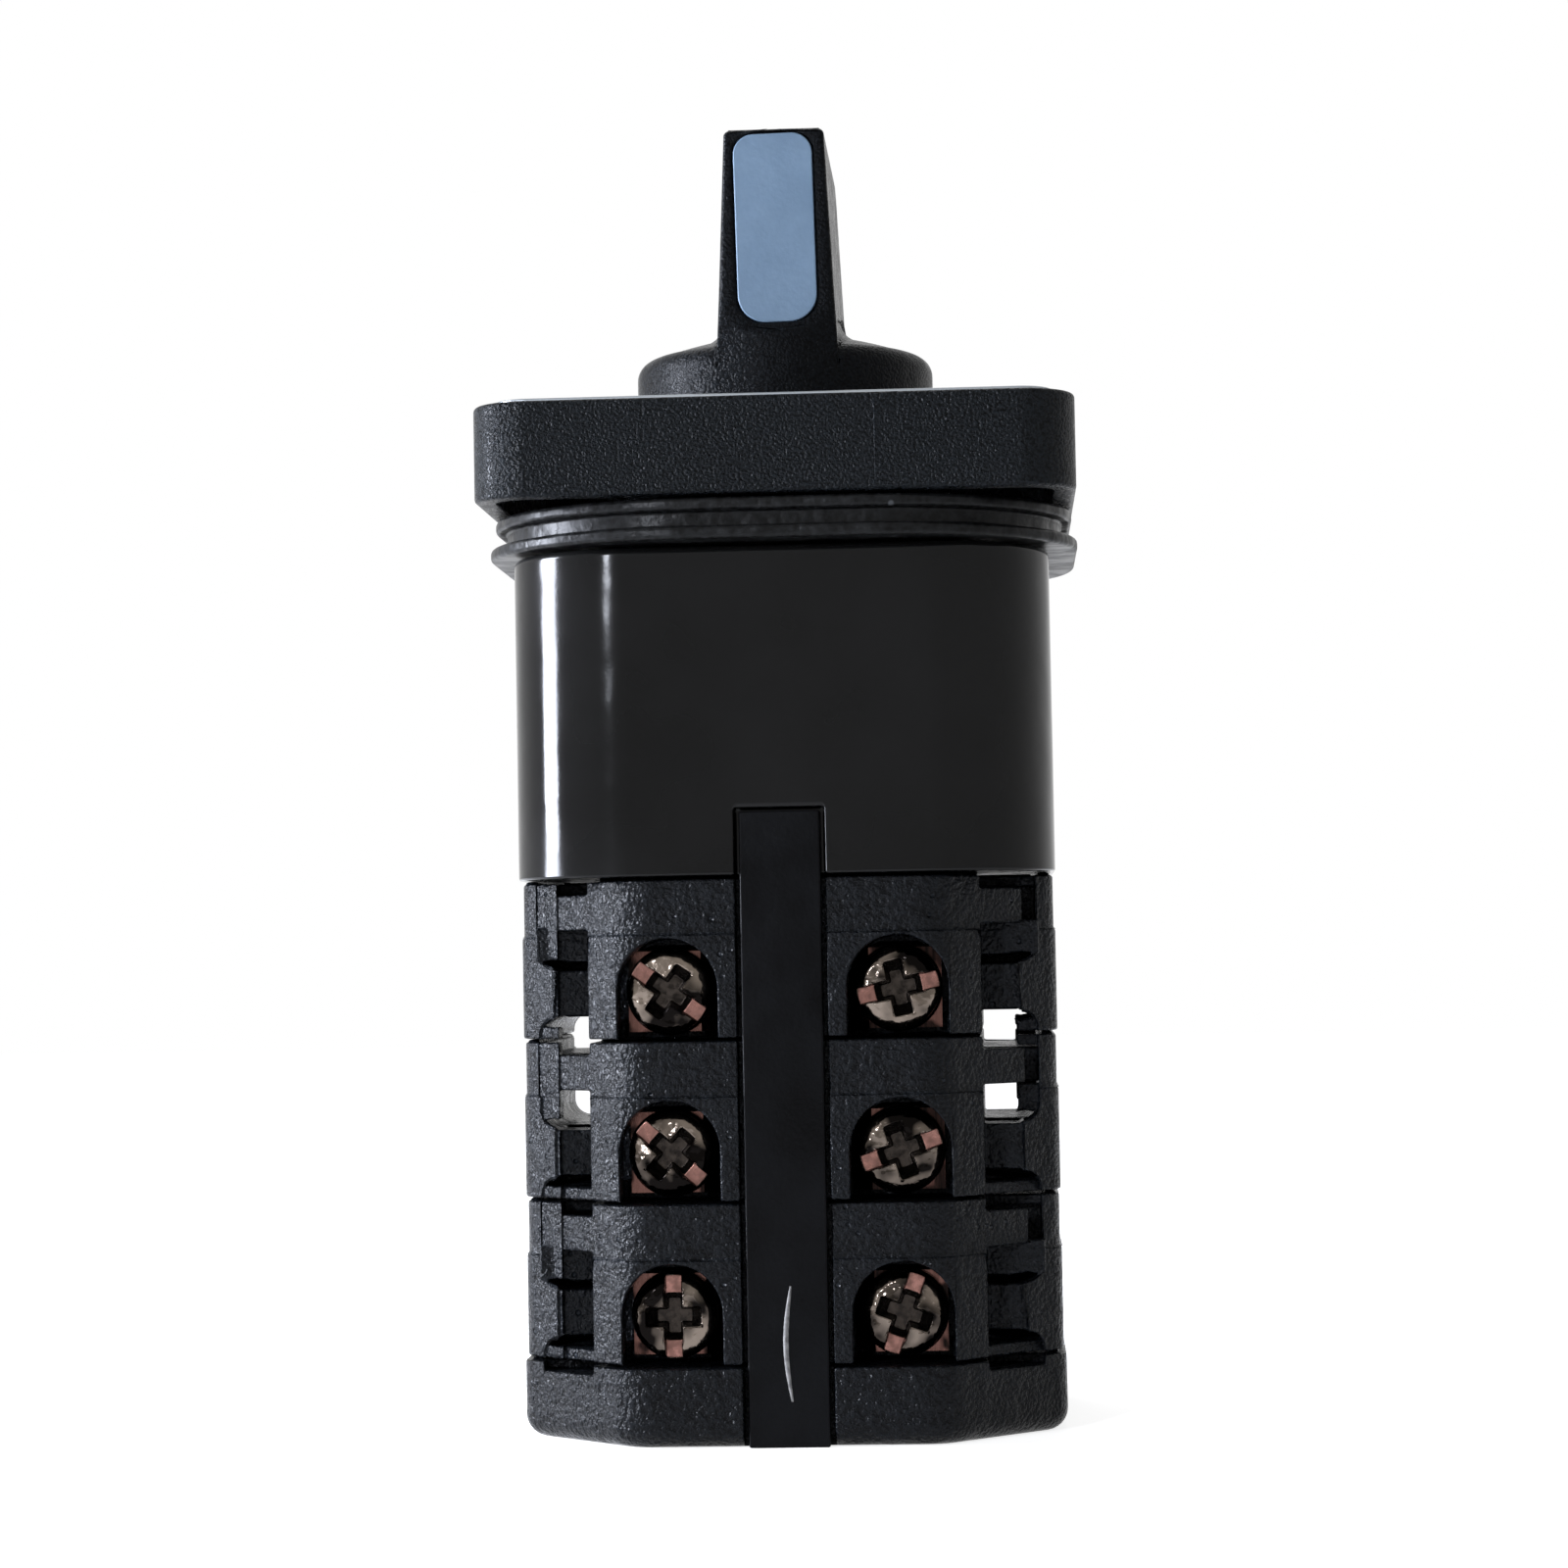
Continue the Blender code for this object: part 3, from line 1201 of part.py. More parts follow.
clear_scene()
PARTS = collection("cam_switch", bpy.context.scene.collection)
CUTTERS = collection("cutters", bpy.context.scene.collection, hidden=True)

if __name__ == "__main__":
    main()
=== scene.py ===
"""Dressed scene of a rotary cam switch with three contact decks, a sealed square front and a bar knob.

Sizes are in millimetres. A piece is drawn in millimetres and scaled to metres when it is finished.
"""

import json
import logging
import math
from collections.abc import Callable, Iterable, Sequence
from dataclasses import dataclass, field
from enum import Enum
from typing import ClassVar

import bmesh
import bpy
from mathutils import Matrix, Vector

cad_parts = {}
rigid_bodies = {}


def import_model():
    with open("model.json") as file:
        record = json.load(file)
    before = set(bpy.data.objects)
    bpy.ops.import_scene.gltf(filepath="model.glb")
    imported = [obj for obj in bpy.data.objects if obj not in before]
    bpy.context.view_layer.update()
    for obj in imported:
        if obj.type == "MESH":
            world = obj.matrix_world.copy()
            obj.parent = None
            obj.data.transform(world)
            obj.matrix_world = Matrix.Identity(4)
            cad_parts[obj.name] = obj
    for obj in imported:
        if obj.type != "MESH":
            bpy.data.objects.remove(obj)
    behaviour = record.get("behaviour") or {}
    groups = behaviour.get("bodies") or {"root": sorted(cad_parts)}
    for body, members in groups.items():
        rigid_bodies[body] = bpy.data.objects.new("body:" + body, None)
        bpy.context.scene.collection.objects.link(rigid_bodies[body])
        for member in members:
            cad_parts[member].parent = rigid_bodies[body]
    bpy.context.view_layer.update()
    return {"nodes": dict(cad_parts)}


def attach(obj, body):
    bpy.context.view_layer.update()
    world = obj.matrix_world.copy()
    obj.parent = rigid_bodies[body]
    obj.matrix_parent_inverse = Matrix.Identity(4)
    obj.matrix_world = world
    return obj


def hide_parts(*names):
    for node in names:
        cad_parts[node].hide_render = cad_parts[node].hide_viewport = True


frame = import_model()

METRE = 0.001
WELD = 0.002
OVERCUT = 1.0
FINE_TURN = math.radians(6)
BROAD_TURN = math.radians(4)
COARSE_TURN = math.radians(15)
FLAT_ANGLE = math.radians(0.5)
SHARP_ANGLE = math.radians(32)
SIGNS = (-1, 1)

Point = tuple[float, float]
Outline = list[Point]
Corner = tuple[float, float, float]
log = logging.getLogger("cam_switch")


class Axis(Enum):
    """Direction that a flat outline is drawn across. The outline is (x, y), (x, z) or (y, z)."""

    X = "X"
    Y = "Y"
    Z = "Z"

    def place(self, first: float, second: float, level: float) -> Vector:
        """Put a point of an outline at a level along this axis.

        Args:
            first: The point's first measure.
            second: Its second measure.
            level: The level along the axis.

        Returns:
            The place.
        """
        if self is Axis.Z:
            return Vector((first, second, level))
        if self is Axis.Y:
            return Vector((first, level, second))
        return Vector((level, first, second))


class Join(Enum):
    """Boolean operations between solids."""

    CUT = "DIFFERENCE"
    WELD = "UNION"
    KEEP = "INTERSECT"


# Outlines


def rounded(corners: Sequence[Corner], turn_step: float = FINE_TURN) -> Outline:
    """Draw a closed outline with an arc at each corner that has a radius.

    Args:
        corners: The (x, y, radius) corners in order.
        turn_step: The angle of one facet of an arc.

    Returns:
        The points of the outline.
    """
    points: Outline = []
    for index, (x, y, radius) in enumerate(corners):
        if radius <= 0:
            points.append((x, y))
            continue
        corner = Vector((x, y))
        back = (Vector(corners[index - 1][:2]) - corner).normalized()
        ahead = (Vector(corners[(index + 1) % len(corners)][:2]) - corner).normalized()
        half_angle = back.angle(ahead) / 2
        centre = corner + (back + ahead).normalized() * (radius / math.sin(half_angle))
        start = corner + back * (radius / math.tan(half_angle)) - centre
        sweep = math.pi - 2 * half_angle
        steps = max(2, round(sweep / turn_step))
        turn = math.copysign(sweep, ahead.x * back.y - ahead.y * back.x)
        points += [tuple(centre + Matrix.Rotation(turn * step / steps, 2) @ start) for step in range(steps + 1)]
    return points


def rounded_square(half: float, radius: float, turn_step: float = FINE_TURN) -> Outline:
    """Draw a square with round corners.

    Args:
        half: Half of its width.
        radius: The radius of its corners.
        turn_step: The angle of one facet of an arc.

    Returns:
        The points of the outline.
    """
    return rounded([(half * x, half * y, radius) for x, y in ((1, -1), (1, 1), (-1, 1), (-1, -1))], turn_step)


def circle(radius: float, centre: Point = (0, 0), sides: int = 64) -> Outline:
    """Draw a circle.

    Args:
        radius: Its radius.
        centre: Its centre.
        sides: The number of its facets.

    Returns:
        The points of the outline.
    """
    turns = [2 * math.pi * step / sides for step in range(sides)]
    return [(centre[0] + radius * math.cos(turn), centre[1] + radius * math.sin(turn)) for turn in turns]


def rectangle(low_x: float, high_x: float, low_y: float, high_y: float) -> Outline:
    """Draw a plain rectangle between two corners."""
    return [(low_x, low_y), (high_x, low_y), (high_x, high_y), (low_x, high_y)]


def placed(points: Outline, x_sign: int, y_sign: int) -> Outline:
    """Mirror an outline into another quarter."""
    return [(x * x_sign, y * y_sign) for x, y in points]


# Solids


def linked(name: str, mesh: bpy.types.Mesh) -> bpy.types.Object:
    """Put a mesh in the scene as an object.

    Args:
        name: The object's name.
        mesh: Its mesh.

    Returns:
        The object.
    """
    item = bpy.data.objects.new(name, mesh)
    bpy.context.scene.collection.objects.link(item)
    return item


def solid(name: str, shape: bmesh.types.BMesh) -> bpy.types.Object:
    """Turn an edit mesh into an object, with its faces outwards.

    Args:
        name: The object's name.
        shape: The edit mesh, which is freed.

    Returns:
        The object.
    """
    bmesh.ops.recalc_face_normals(shape, faces=shape.faces)
    mesh = bpy.data.meshes.new(name)
    shape.to_mesh(mesh)
    shape.free()
    return linked(name, mesh)


def lofted(name: str, rings: Sequence[Sequence[Vector]], closed: bool = False) -> bpy.types.Object:
    """Skin a row of rings that have the same number of points.

    Args:
        name: The object's name.
        rings: The rings in order.
        closed: True where the last ring joins the first one, and False where both ends get a face.

    Returns:
        The solid.
    """
    shape = bmesh.new()
    rows = [[shape.verts.new(point) for point in ring] for ring in rings]
    count = len(rows[0])
    pairs = list(zip(rows, rows[1:])) + ([(rows[-1], rows[0])] if closed else [])
    for low, high in pairs:
        for index in range(count):
            following = (index + 1) % count
            shape.faces.new((low[index], low[following], high[following], high[index]))
    if not closed:
        shape.faces.new(rows[0][::-1])
        shape.faces.new(rows[-1])
    return solid(name, shape)


def prism(name: str, outline: Outline, low: float, high: float, axis: Axis = Axis.Z) -> bpy.types.Object:
    """Extrude an outline between two levels.

    Args:
        name: The object's name.
        outline: The outline, in the plane across the axis.
        low: One level along the axis.
        high: The other level.
        axis: The direction of the extrusion.

    Returns:
        The solid.
    """
    return lofted(name, [[axis.place(x, y, level) for x, y in outline] for level in (low, high)])


def block(name: str, corner: Sequence[float], opposite: Sequence[float]) -> bpy.types.Object:
    """Make a box between two opposite corners."""
    low, high = ([side(pair) for pair in zip(corner, opposite)] for side in (min, max))
    return prism(name, rectangle(low[0], high[0], low[1], high[1]), low[2], high[2])


def turned(name: str, profile: Outline, sides: int = 96) -> bpy.types.Object:
    """Turn an (r, z) profile about Z.

    Args:
        name: The object's name.
        profile: The profile, from one end on the axis to the other.
        sides: The number of facets of the turn.

    Returns:
        The solid.
    """
    shape = bmesh.new()
    points = [shape.verts.new((radius, 0, height)) for radius, height in profile]
    edges = [shape.edges.new(pair) for pair in zip(points, points[1:])]
    geometry = [*points, *edges]
    turn = {"axis": (0, 0, 1), "cent": (0, 0, 0), "angle": 2 * math.pi}
    bmesh.ops.spin(shape, geom=geometry, steps=sides, use_merge=True, **turn)
    bmesh.ops.remove_doubles(shape, verts=shape.verts, dist=WELD)
    return solid(name, shape)


def baked(item: bpy.types.Object) -> bpy.types.Mesh:
    """Take the finished mesh of an object and remove the object.

    Args:
        item: The object.

    Returns:
        Its mesh, with its modifiers applied.
    """
    bpy.context.view_layer.update()
    mesh = bpy.data.meshes.new_from_object(item.evaluated_get(bpy.context.evaluated_depsgraph_get()))
    bpy.data.objects.remove(item, do_unlink=True)
    return mesh


def joined(item: bpy.types.Object, tools: Iterable[bpy.types.Object], join: Join = Join.CUT) -> bpy.types.Object:
    """Cut, weld or intersect a solid with all its tools at once, and remove the tools.

    Args:
        item: The solid.
        tools: The solids that work on it.
        join: What they do.

    Returns:
        The new solid.
    """
    name = item.name
    group = bpy.data.collections.new(f"{name}_tools")
    for tool in tools:
        group.objects.link(tool)
    boolean = item.modifiers.new("Join", "BOOLEAN")
    boolean.operation = join.value
    boolean.operand_type = "COLLECTION"
    boolean.collection = group
    boolean.solver = "EXACT"
    mesh = baked(item)
    for tool in list(group.objects):
        bpy.data.objects.remove(tool, do_unlink=True)
    bpy.data.collections.remove(group)
    return linked(name, mesh)


def bevelled(
    item: bpy.types.Object, width: float, segments: int, wanted: Callable[[Vector, Vector], bool]
) -> bpy.types.Object:
    """Round the edges whose two ends pass a test.

    Args:
        item: The solid, which is changed.
        width: The width of the rounding.
        segments: The number of its facets.
        wanted: The test on the two ends of an edge.

    Returns:
        The same solid.
    """
    shape = bmesh.new()
    shape.from_mesh(item.data)
    edges = [edge for edge in shape.edges if wanted(*[vertex.co for vertex in edge.verts])]
    bmesh.ops.bevel(shape, geom=edges, offset=width, segments=segments, affect="EDGES", profile=0.5)
    shape.to_mesh(item.data)
    shape.free()
    return item


def level(height: float) -> Callable[[Vector, Vector], bool]:
    """Make a test for edges that lie at one height."""
    return lambda start, end: max(abs(start.z - height), abs(end.z - height)) < WELD


def softened(item: bpy.types.Object, width: float, segments: int = 2) -> bpy.types.Object:
    """Round the sharp edges of a solid a little, as a moulded or turned piece has them.

    Args:
        item: The solid.
        width: The width of the rounding.
        segments: The number of its facets.

    Returns:
        The softened solid, shaded smooth.
    """
    shape = bmesh.new()
    shape.from_mesh(item.data)
    bmesh.ops.triangulate(shape, faces=shape.faces)
    bmesh.ops.remove_doubles(shape, verts=shape.verts, dist=WELD)
    bmesh.ops.dissolve_limit(shape, angle_limit=FLAT_ANGLE, verts=shape.verts, edges=shape.edges)
    bmesh.ops.connect_verts_concave(shape, faces=shape.faces)
    shape.to_mesh(item.data)
    shape.free()
    item.data.shade_smooth()
    bevel = item.modifiers.new("Soften", "BEVEL")
    bevel.width = width
    bevel.segments = segments
    bevel.limit_method = "ANGLE"
    bevel.angle_limit = SHARP_ANGLE
    bevel.use_clamp_overlap = False
    bevel.miter_outer = "MITER_ARC"
    normals = item.modifiers.new("Normals", "WEIGHTED_NORMAL")
    normals.keep_sharp = True
    name = item.name
    return linked(name, baked(item))


# Materials


def linear(colour: str) -> tuple[float, float, float, float]:
    """Turn an sRGB hex colour into linear light with full alpha."""
    channels = [int(colour[index : index + 2], 16) / 255 for index in (1, 3, 5)]
    return (*(((c + 0.055) / 1.055) ** 2.4 if c > 0.04045 else c / 12.92 for c in channels), 1)


def feed(tree: bpy.types.NodeTree, node: bpy.types.Node, inputs: dict[str | int, object]) -> None:
    """Give a node's inputs their values or their links.

    Args:
        tree: The node tree.
        node: The node.
        inputs: A value, or a socket to link, for each named input.
    """
    for name, value in inputs.items():
        if isinstance(value, bpy.types.NodeSocket):
            tree.links.new(value, node.inputs[name])
        else:
            node.inputs[name].default_value = value


def add_node(
    tree: bpy.types.NodeTree, kind: str, inputs: dict[str | int, object] | None = None, **settings: object
) -> bpy.types.Node:
    """Add a node with its settings, its values and its links.

    Args:
        tree: The node tree.
        kind: The node's type.
        inputs: A value, or a socket to link, for each named input.
        **settings: The node's own properties.

    Returns:
        The node.
    """
    made = tree.nodes.new(kind)
    for name, value in settings.items():
        setattr(made, name, value)
    feed(tree, made, inputs or {})
    return made


class Pattern(Enum):
    """How a layer of unevenness is laid out."""

    CLOUDS = "clouds"
    SPECKS = "specks"
    EDGES = "edges"


@dataclass(frozen=True)
class Layer:
    """One layer of unevenness on a surface.

    Args:
        size: The size of one spot in millimetres.
        height: How far the surface rises or falls, in millimetres.
        tone: How much of the second colour it mixes in, from 0 to 1.
        gloss: How much the roughness changes.
        stretch: How much longer a spot is along X, Y and Z.
        pattern: How the spots are laid out.
        cover: How much of the noise's range is bare surface, or the reach of a speck as a share of its
            size, or for edges the reach of the wear in millimetres.
    """

    size: float
    height: float = 0.0
    tone: float = 0.0
    gloss: float = 0.0
    stretch: tuple[float, float, float] = (1, 1, 1)
    pattern: Pattern = Pattern.CLOUDS
    cover: float = 0.35


@dataclass(frozen=True)
class Finish:
    """A material and how its surface was made.

    Args:
        name: The name of the material.
        colour: Its main colour.
        second: The colour that its layers mix in.
        roughness: Its roughness.
        metallic: Whether it is a metal: 1, or 0 for anything else.
        specular: The specular level, at its default for a metal.
        layers: The layers of unevenness.
    """

    name: str
    colour: str
    second: str
    roughness: float
    metallic: float = 0.0
    specular: float = 0.5
    layers: tuple[Layer, ...] = ()
    # Specks stand in groups: the grouping noise has this scale, and the specks come in between these values.
    speck_group: ClassVar[float] = 0.37
    speck_rarity: ClassVar[tuple[float, float]] = (0.52, 0.55)
    # An edge counts as worn where the two normals' product falls, and the noise rises, between these values.
    edge_turn: ClassVar[tuple[float, float]] = (0.985, 0.9)
    wear_patches: ClassVar[tuple[float, float]] = (0.4, 0.6)

    def pattern(self, tree: bpy.types.NodeTree, layer: Layer, place: bpy.types.NodeSocket) -> bpy.types.NodeSocket:
        """Draw one layer.

        Args:
            tree: The node tree.
            layer: The layer.
            place: The place on the piece, in metres.

        Returns:
            The socket with the layer's strength, from 0 to 1.
        """
        scale = [1 / (METRE * layer.size * part) for part in layer.stretch]
        spots = add_node(tree, "ShaderNodeMapping", {"Vector": place, "Scale": scale}).outputs[0]
        if layer.pattern is Pattern.EDGES:
            return self.edge_wear(tree, layer, spots)
        if layer.pattern is Pattern.CLOUDS:
            noise = add_node(tree, "ShaderNodeTexNoise", {"Vector": spots, "Scale": 1.0, "Detail": 2.0})
            return self.ranged(tree, noise.outputs["Fac"], layer.cover, 1 - layer.cover)
        cells = add_node(tree, "ShaderNodeTexVoronoi", {"Vector": spots, "Scale": 1.0})
        rare = add_node(tree, "ShaderNodeTexNoise", {"Vector": spots, "Scale": self.speck_group, "Detail": 0.0})
        strengths = {
            0: self.ranged(tree, cells.outputs["Distance"], layer.cover, layer.cover / 2),
            1: self.ranged(tree, rare.outputs["Fac"], *self.speck_rarity),
        }
        return add_node(tree, "ShaderNodeMath", strengths, operation="MULTIPLY").outputs[0]

    @staticmethod
    def ranged(tree: bpy.types.NodeTree, value: bpy.types.NodeSocket, low: float, high: float) -> bpy.types.NodeSocket:
        """Spread the values between two limits over 0 to 1."""
        return add_node(tree, "ShaderNodeMapRange", {"Value": value, "From Min": low, "From Max": high}).outputs[0]

    def edge_wear(
        self, tree: bpy.types.NodeTree, layer: Layer, place: bpy.types.NodeSocket
    ) -> bpy.types.NodeSocket:
        """Draw the wear along edges, found where a rounded normal turns away from the real one.

        Args:
            tree: The node tree.
            layer: The layer; its cover is the reach of the wear in millimetres.
            place: The scaled place on the piece.

        Returns:
            The socket with the wear's strength, from 0 to 1.
        """
        real = add_node(tree, "ShaderNodeNewGeometry").outputs["Normal"]
        soft = add_node(tree, "ShaderNodeBevel", {"Radius": layer.cover * METRE}, samples=4).outputs[0]
        same = add_node(tree, "ShaderNodeVectorMath", {0: real, 1: soft}, operation="DOT_PRODUCT")
        patches = add_node(tree, "ShaderNodeTexNoise", {"Vector": place, "Scale": 1.0, "Detail": 2.0})
        strengths = {
            0: self.ranged(tree, same.outputs["Value"], *self.edge_turn),
            1: self.ranged(tree, patches.outputs["Fac"], *self.wear_patches),
        }
        return add_node(tree, "ShaderNodeMath", strengths, operation="MULTIPLY").outputs[0]

    def material(self) -> bpy.types.Material:
        """Make the material, or give the one made before.

        Returns:
            The material.
        """
        known = bpy.data.materials.get(self.name)
        if known:
            return known
        made = bpy.data.materials.new(self.name)
        made.use_nodes = True
        tree = made.node_tree
        shader = tree.nodes["Principled BSDF"]
        place = add_node(tree, "ShaderNodeTexCoord").outputs["Object"]
        wired: dict[str | int, object] = {
            "Base Color": linear(self.colour),
            "Metallic": self.metallic,
            "Roughness": self.roughness,
            "Specular IOR Level": self.specular,
        }
        for layer in self.layers:
            self.spread_layer(tree, layer, self.pattern(tree, layer, place), wired)
        feed(tree, shader, wired)
        return made

    def spread_layer(
        self,
        tree: bpy.types.NodeTree,
        layer: Layer,
        strength: bpy.types.NodeSocket,
        wired: dict[str | int, object],
    ) -> None:
        """Mix one layer into the colour, the roughness and the surface's height.

        Args:
            tree: The node tree.
            layer: The layer.
            strength: The socket with its strength, from 0 to 1.
            wired: The values and sockets for the shader's inputs, which are changed.
        """
        if layer.tone:
            share = add_node(tree, "ShaderNodeMath", {0: strength, 1: layer.tone}, operation="MULTIPLY")
            both = {"Factor": share.outputs[0], "A": wired["Base Color"], "B": linear(self.second)}
            wired["Base Color"] = add_node(tree, "ShaderNodeMix", both, data_type="RGBA").outputs["Result"]
        if layer.gloss:
            base = wired["Roughness"]
            if not isinstance(base, bpy.types.NodeSocket):
                base -= layer.gloss / 2
            change = {0: strength, 1: layer.gloss, 2: base}
            wired["Roughness"] = add_node(
                tree, "ShaderNodeMath", change, operation="MULTIPLY_ADD", use_clamp=True
            ).outputs[0]
        if layer.height:
            relief = {"Height": strength, "Distance": abs(layer.height) * METRE}
            if "Normal" in wired:
                relief["Normal"] = wired["Normal"]
            wired["Normal"] = add_node(tree, "ShaderNodeBump", relief, invert=layer.height < 0).outputs["Normal"]


# Glass-filled polyamide, moulded: the fibres leave a satin skin with dull and shiny patches and small pits. The
# lighter tone in its grain and in its pits is painted glints.
DECK_POLYAMIDE = Finish(
    "polyamide_glass_filled_moulded",
    "#030304",
    "#202327",
    0.24,
    specular=0.07,
    layers=(
        Layer(7.0, tone=0.1),
        Layer(1.5, height=0.08, tone=0.1, gloss=0.14),
        # The real grain of 0.1 mm is too fine to show, so it is drawn at 0.35 mm; its bump is the grain, its lighter
        # tone painted glints.
        Layer(0.35, height=0.085, tone=0.3, cover=0.34),
        # Small pits sunk by the bump, lighter in tone as painted glints.
        Layer(1.3, height=-0.25, tone=0.8, pattern=Pattern.SPECKS, cover=0.2),
        Layer(2.0, tone=0.9, gloss=-0.05, pattern=Pattern.EDGES, cover=0.3),
    ),
)
# The same polyamide from a grained mould: an even dull grain, with no pits, and lighter worn edges.
COVER_POLYAMIDE = Finish(
    "polyamide_glass_filled_grained",
    "#030304",
    "#202327",
    0.26,
    specular=0.07,
    layers=(
        Layer(7.0, tone=0.1),
        # The real grain is too fine to show, so it is drawn at 0.35 mm; its bump is the grain, its lighter tone
        # painted glints.
        Layer(0.35, height=0.1, tone=0.3, cover=0.34),
        Layer(1.8, height=0.1, gloss=0.12),
        Layer(2.0, tone=0.9, gloss=-0.05, pattern=Pattern.EDGES, cover=0.3),
    ),
)
# Polyamide moulded in a polished mould: a deep gloss with slow waves.
HOUSING_POLYAMIDE = Finish(
    "polyamide_polish_moulded",
    "#0a0a0a",
    "#131313",
    0.12,
    specular=0.13,
    layers=(Layer(7.0, height=0.03), Layer(12.0, tone=0.5, gloss=0.06), Layer(0.3, height=0.0008)),
)
# Soft moulded polyamide strip: smooth, a little dull from handling.
STRAP_POLYAMIDE = Finish(
    "polyamide_strap_moulded",
    "#040405",
    "#0e0f11",
    0.3,
    specular=0.05,
    layers=(Layer(6.0, tone=0.6, gloss=0.1), Layer(0.35, height=0.006), Layer(1.6, height=0.01)),
)
# Nitrile rubber, compression moulded: soft sheen, slightly wavy lips and a little dust.
SEAL_RUBBER = Finish(
    "nitrile_rubber_moulded",
    "#080808",
    "#4a4c4e",
    0.36,
    specular=0.1,
    layers=(
        Layer(3.0, height=0.12, gloss=0.15),
        Layer(0.5, height=0.012, tone=0.1),
        Layer(2.4, tone=0.9, pattern=Pattern.SPECKS, cover=0.12),
    ),
)
# Polycarbonate from a spark-eroded mould: an even grain that sparkles, from the lamps on its bump and from painted
# glints in its lighter tone, with edges worn shiny.
FRONT_POLYCARBONATE = Finish(
    "polycarbonate_spark_grained",
    "#040506",
    "#24282c",
    0.28,
    specular=0.06,
    layers=(
        Layer(11.0, tone=0.05),
        # The real grain is too fine to show, so it is drawn at 0.25 mm; its bump is the grain, its lighter tone
        # painted glints.
        Layer(0.25, height=0.07, tone=0.4, cover=0.37),
        Layer(1.2, gloss=0.1),
        Layer(2.5, tone=0.8, gloss=-0.05, pattern=Pattern.EDGES, cover=0.3),
    ),
)
# Polycarbonate from a finely grained mould, polished by hands: a weak sheen in soft patches.
KNOB_POLYCARBONATE = Finish(
    "polycarbonate_knob_grained",
    "#040405",
    "#1e2226",
    0.27,
    specular=0.04,
    layers=(
        Layer(8.0, tone=0.05),
        # The real grain is too fine to show, so it is drawn at 0.25 mm; its bump is the grain, its lighter tone
        # painted glints.
        Layer(0.25, height=0.04, tone=0.3, cover=0.36),
        Layer(1.6, height=0.03, gloss=0.12),
        Layer(2.5, tone=0.7, gloss=-0.05, pattern=Pattern.EDGES, cover=0.3),
    ),
)
# Pale polycarbonate, satin moulded, painted blue-grey: painted shade and cold light over its own pale colour, with
# soft clouds and fine scuffs.
INSERT_POLYCARBONATE = Finish(
    "polycarbonate_pale_painted_blue_shade",
    "#6d8398",
    "#5f758a",
    0.42,
    specular=0.3,
    layers=(Layer(5.0, tone=0.8), Layer(0.45, height=0.004, tone=0.3), Layer(1.3, gloss=0.15, tone=0.3)),
)
# The same polyamide where it is scraped: the torn skin is paler and dull.
SCRAPED_POLYAMIDE = Finish(
    "polyamide_scraped",
    "#5d5c5b",
    "#8e8c8a",
    0.5,
    specular=0.2,
    layers=(Layer(0.5, tone=0.7, height=0.01),),
)
# Anodised aluminium sheet, brushed along X: satin with fine lines.
LEGEND_ALUMINIUM = Finish(
    "aluminium_anodised_brushed",
    "#9a9fa4",
    "#7c8186",
    0.38,
    metallic=1.0,
    layers=(
        # Brush lines of 0.02 mm are too fine to show, so they are drawn 0.12 mm apart.
        Layer(0.12, height=0.0015, tone=0.5, gloss=0.15, stretch=(60, 1, 1)),
        Layer(10.0, tone=0.3),
    ),
)
# Nickel-plated steel, polished, painted near black as a painted dark reflection, with lighter brownish patches as
# painted reflections.
SCREW_NICKEL = Finish(
    "nickel_polished_painted_reflections",
    "#0f0d0c",
    "#6c6259",
    0.14,
    metallic=1.0,
    layers=(Layer(2.8, tone=1.0, gloss=0.1, cover=0.4), Layer(0.5, height=0.01), Layer(1.8, height=0.12)),
)
# The plating is thin in the driver slot, so the copper flash under it shows as a brown pink.
SLOT_COPPER_FLASH = Finish(
    "copper_flash_under_nickel",
    "#7a5850",
    "#4a3630",
    0.3,
    metallic=1.0,
    layers=(Layer(0.7, tone=0.7, gloss=0.15), Layer(0.3, height=0.003)),
)
# Nickel in the punched cross, painted darker than the head as painted shade in the recess, and dull where the punch
# tore it.
RECESS_NICKEL = Finish(
    "nickel_in_recess_painted_shade",
    "#1d1a18",
    "#3a342f",
    0.28,
    metallic=1.0,
    layers=(Layer(0.6, tone=0.6, gloss=0.2), Layer(0.3, height=0.004)),
)
# Copper alloy strip, rolled and punched, painted near black: painted shadow of its pocket, with random lighter warm
# patches as painted light on the brass, and faint rolling lines.
STRIP_BRASS_IN_PAINTED_SHADOW = Finish(
    "brass_rolled_painted_shadow",
    "#0e0b0a",
    "#6e4e46",
    0.28,
    metallic=1.0,
    layers=(Layer(0.3, height=0.002, tone=0.1, gloss=0.15, stretch=(1, 1, 12)), Layer(3.0, tone=0.55, cover=0.47)),
)
# Steel, zinc plated: grey with small dull and shiny patches.
BOLT_STEEL = Finish(
    "steel_zinc_plated",
    "#8a8780",
    "#6f6c66",
    0.34,
    metallic=1.0,
    layers=(Layer(0.8, tone=0.6, gloss=0.18), Layer(0.3, height=0.003)),
)
# Steel bar, drawn: bright satin with lines along its length.
SHAFT_STEEL = Finish(
    "steel_drawn_bar",
    "#9a9a96",
    "#7d7d79",
    0.3,
    metallic=1.0,
    layers=(Layer(0.3, height=0.003, tone=0.5, gloss=0.15, stretch=(1, 1, 30)),),
)
# Spring wire, drawn and coiled: an even bright satin.
SPRING_STEEL = Finish(
    "steel_spring_wire",
    "#a4a39f",
    "#7b7a77",
    0.3,
    metallic=1.0,
    layers=(Layer(0.4, height=0.002, tone=0.5, gloss=0.1),),
)
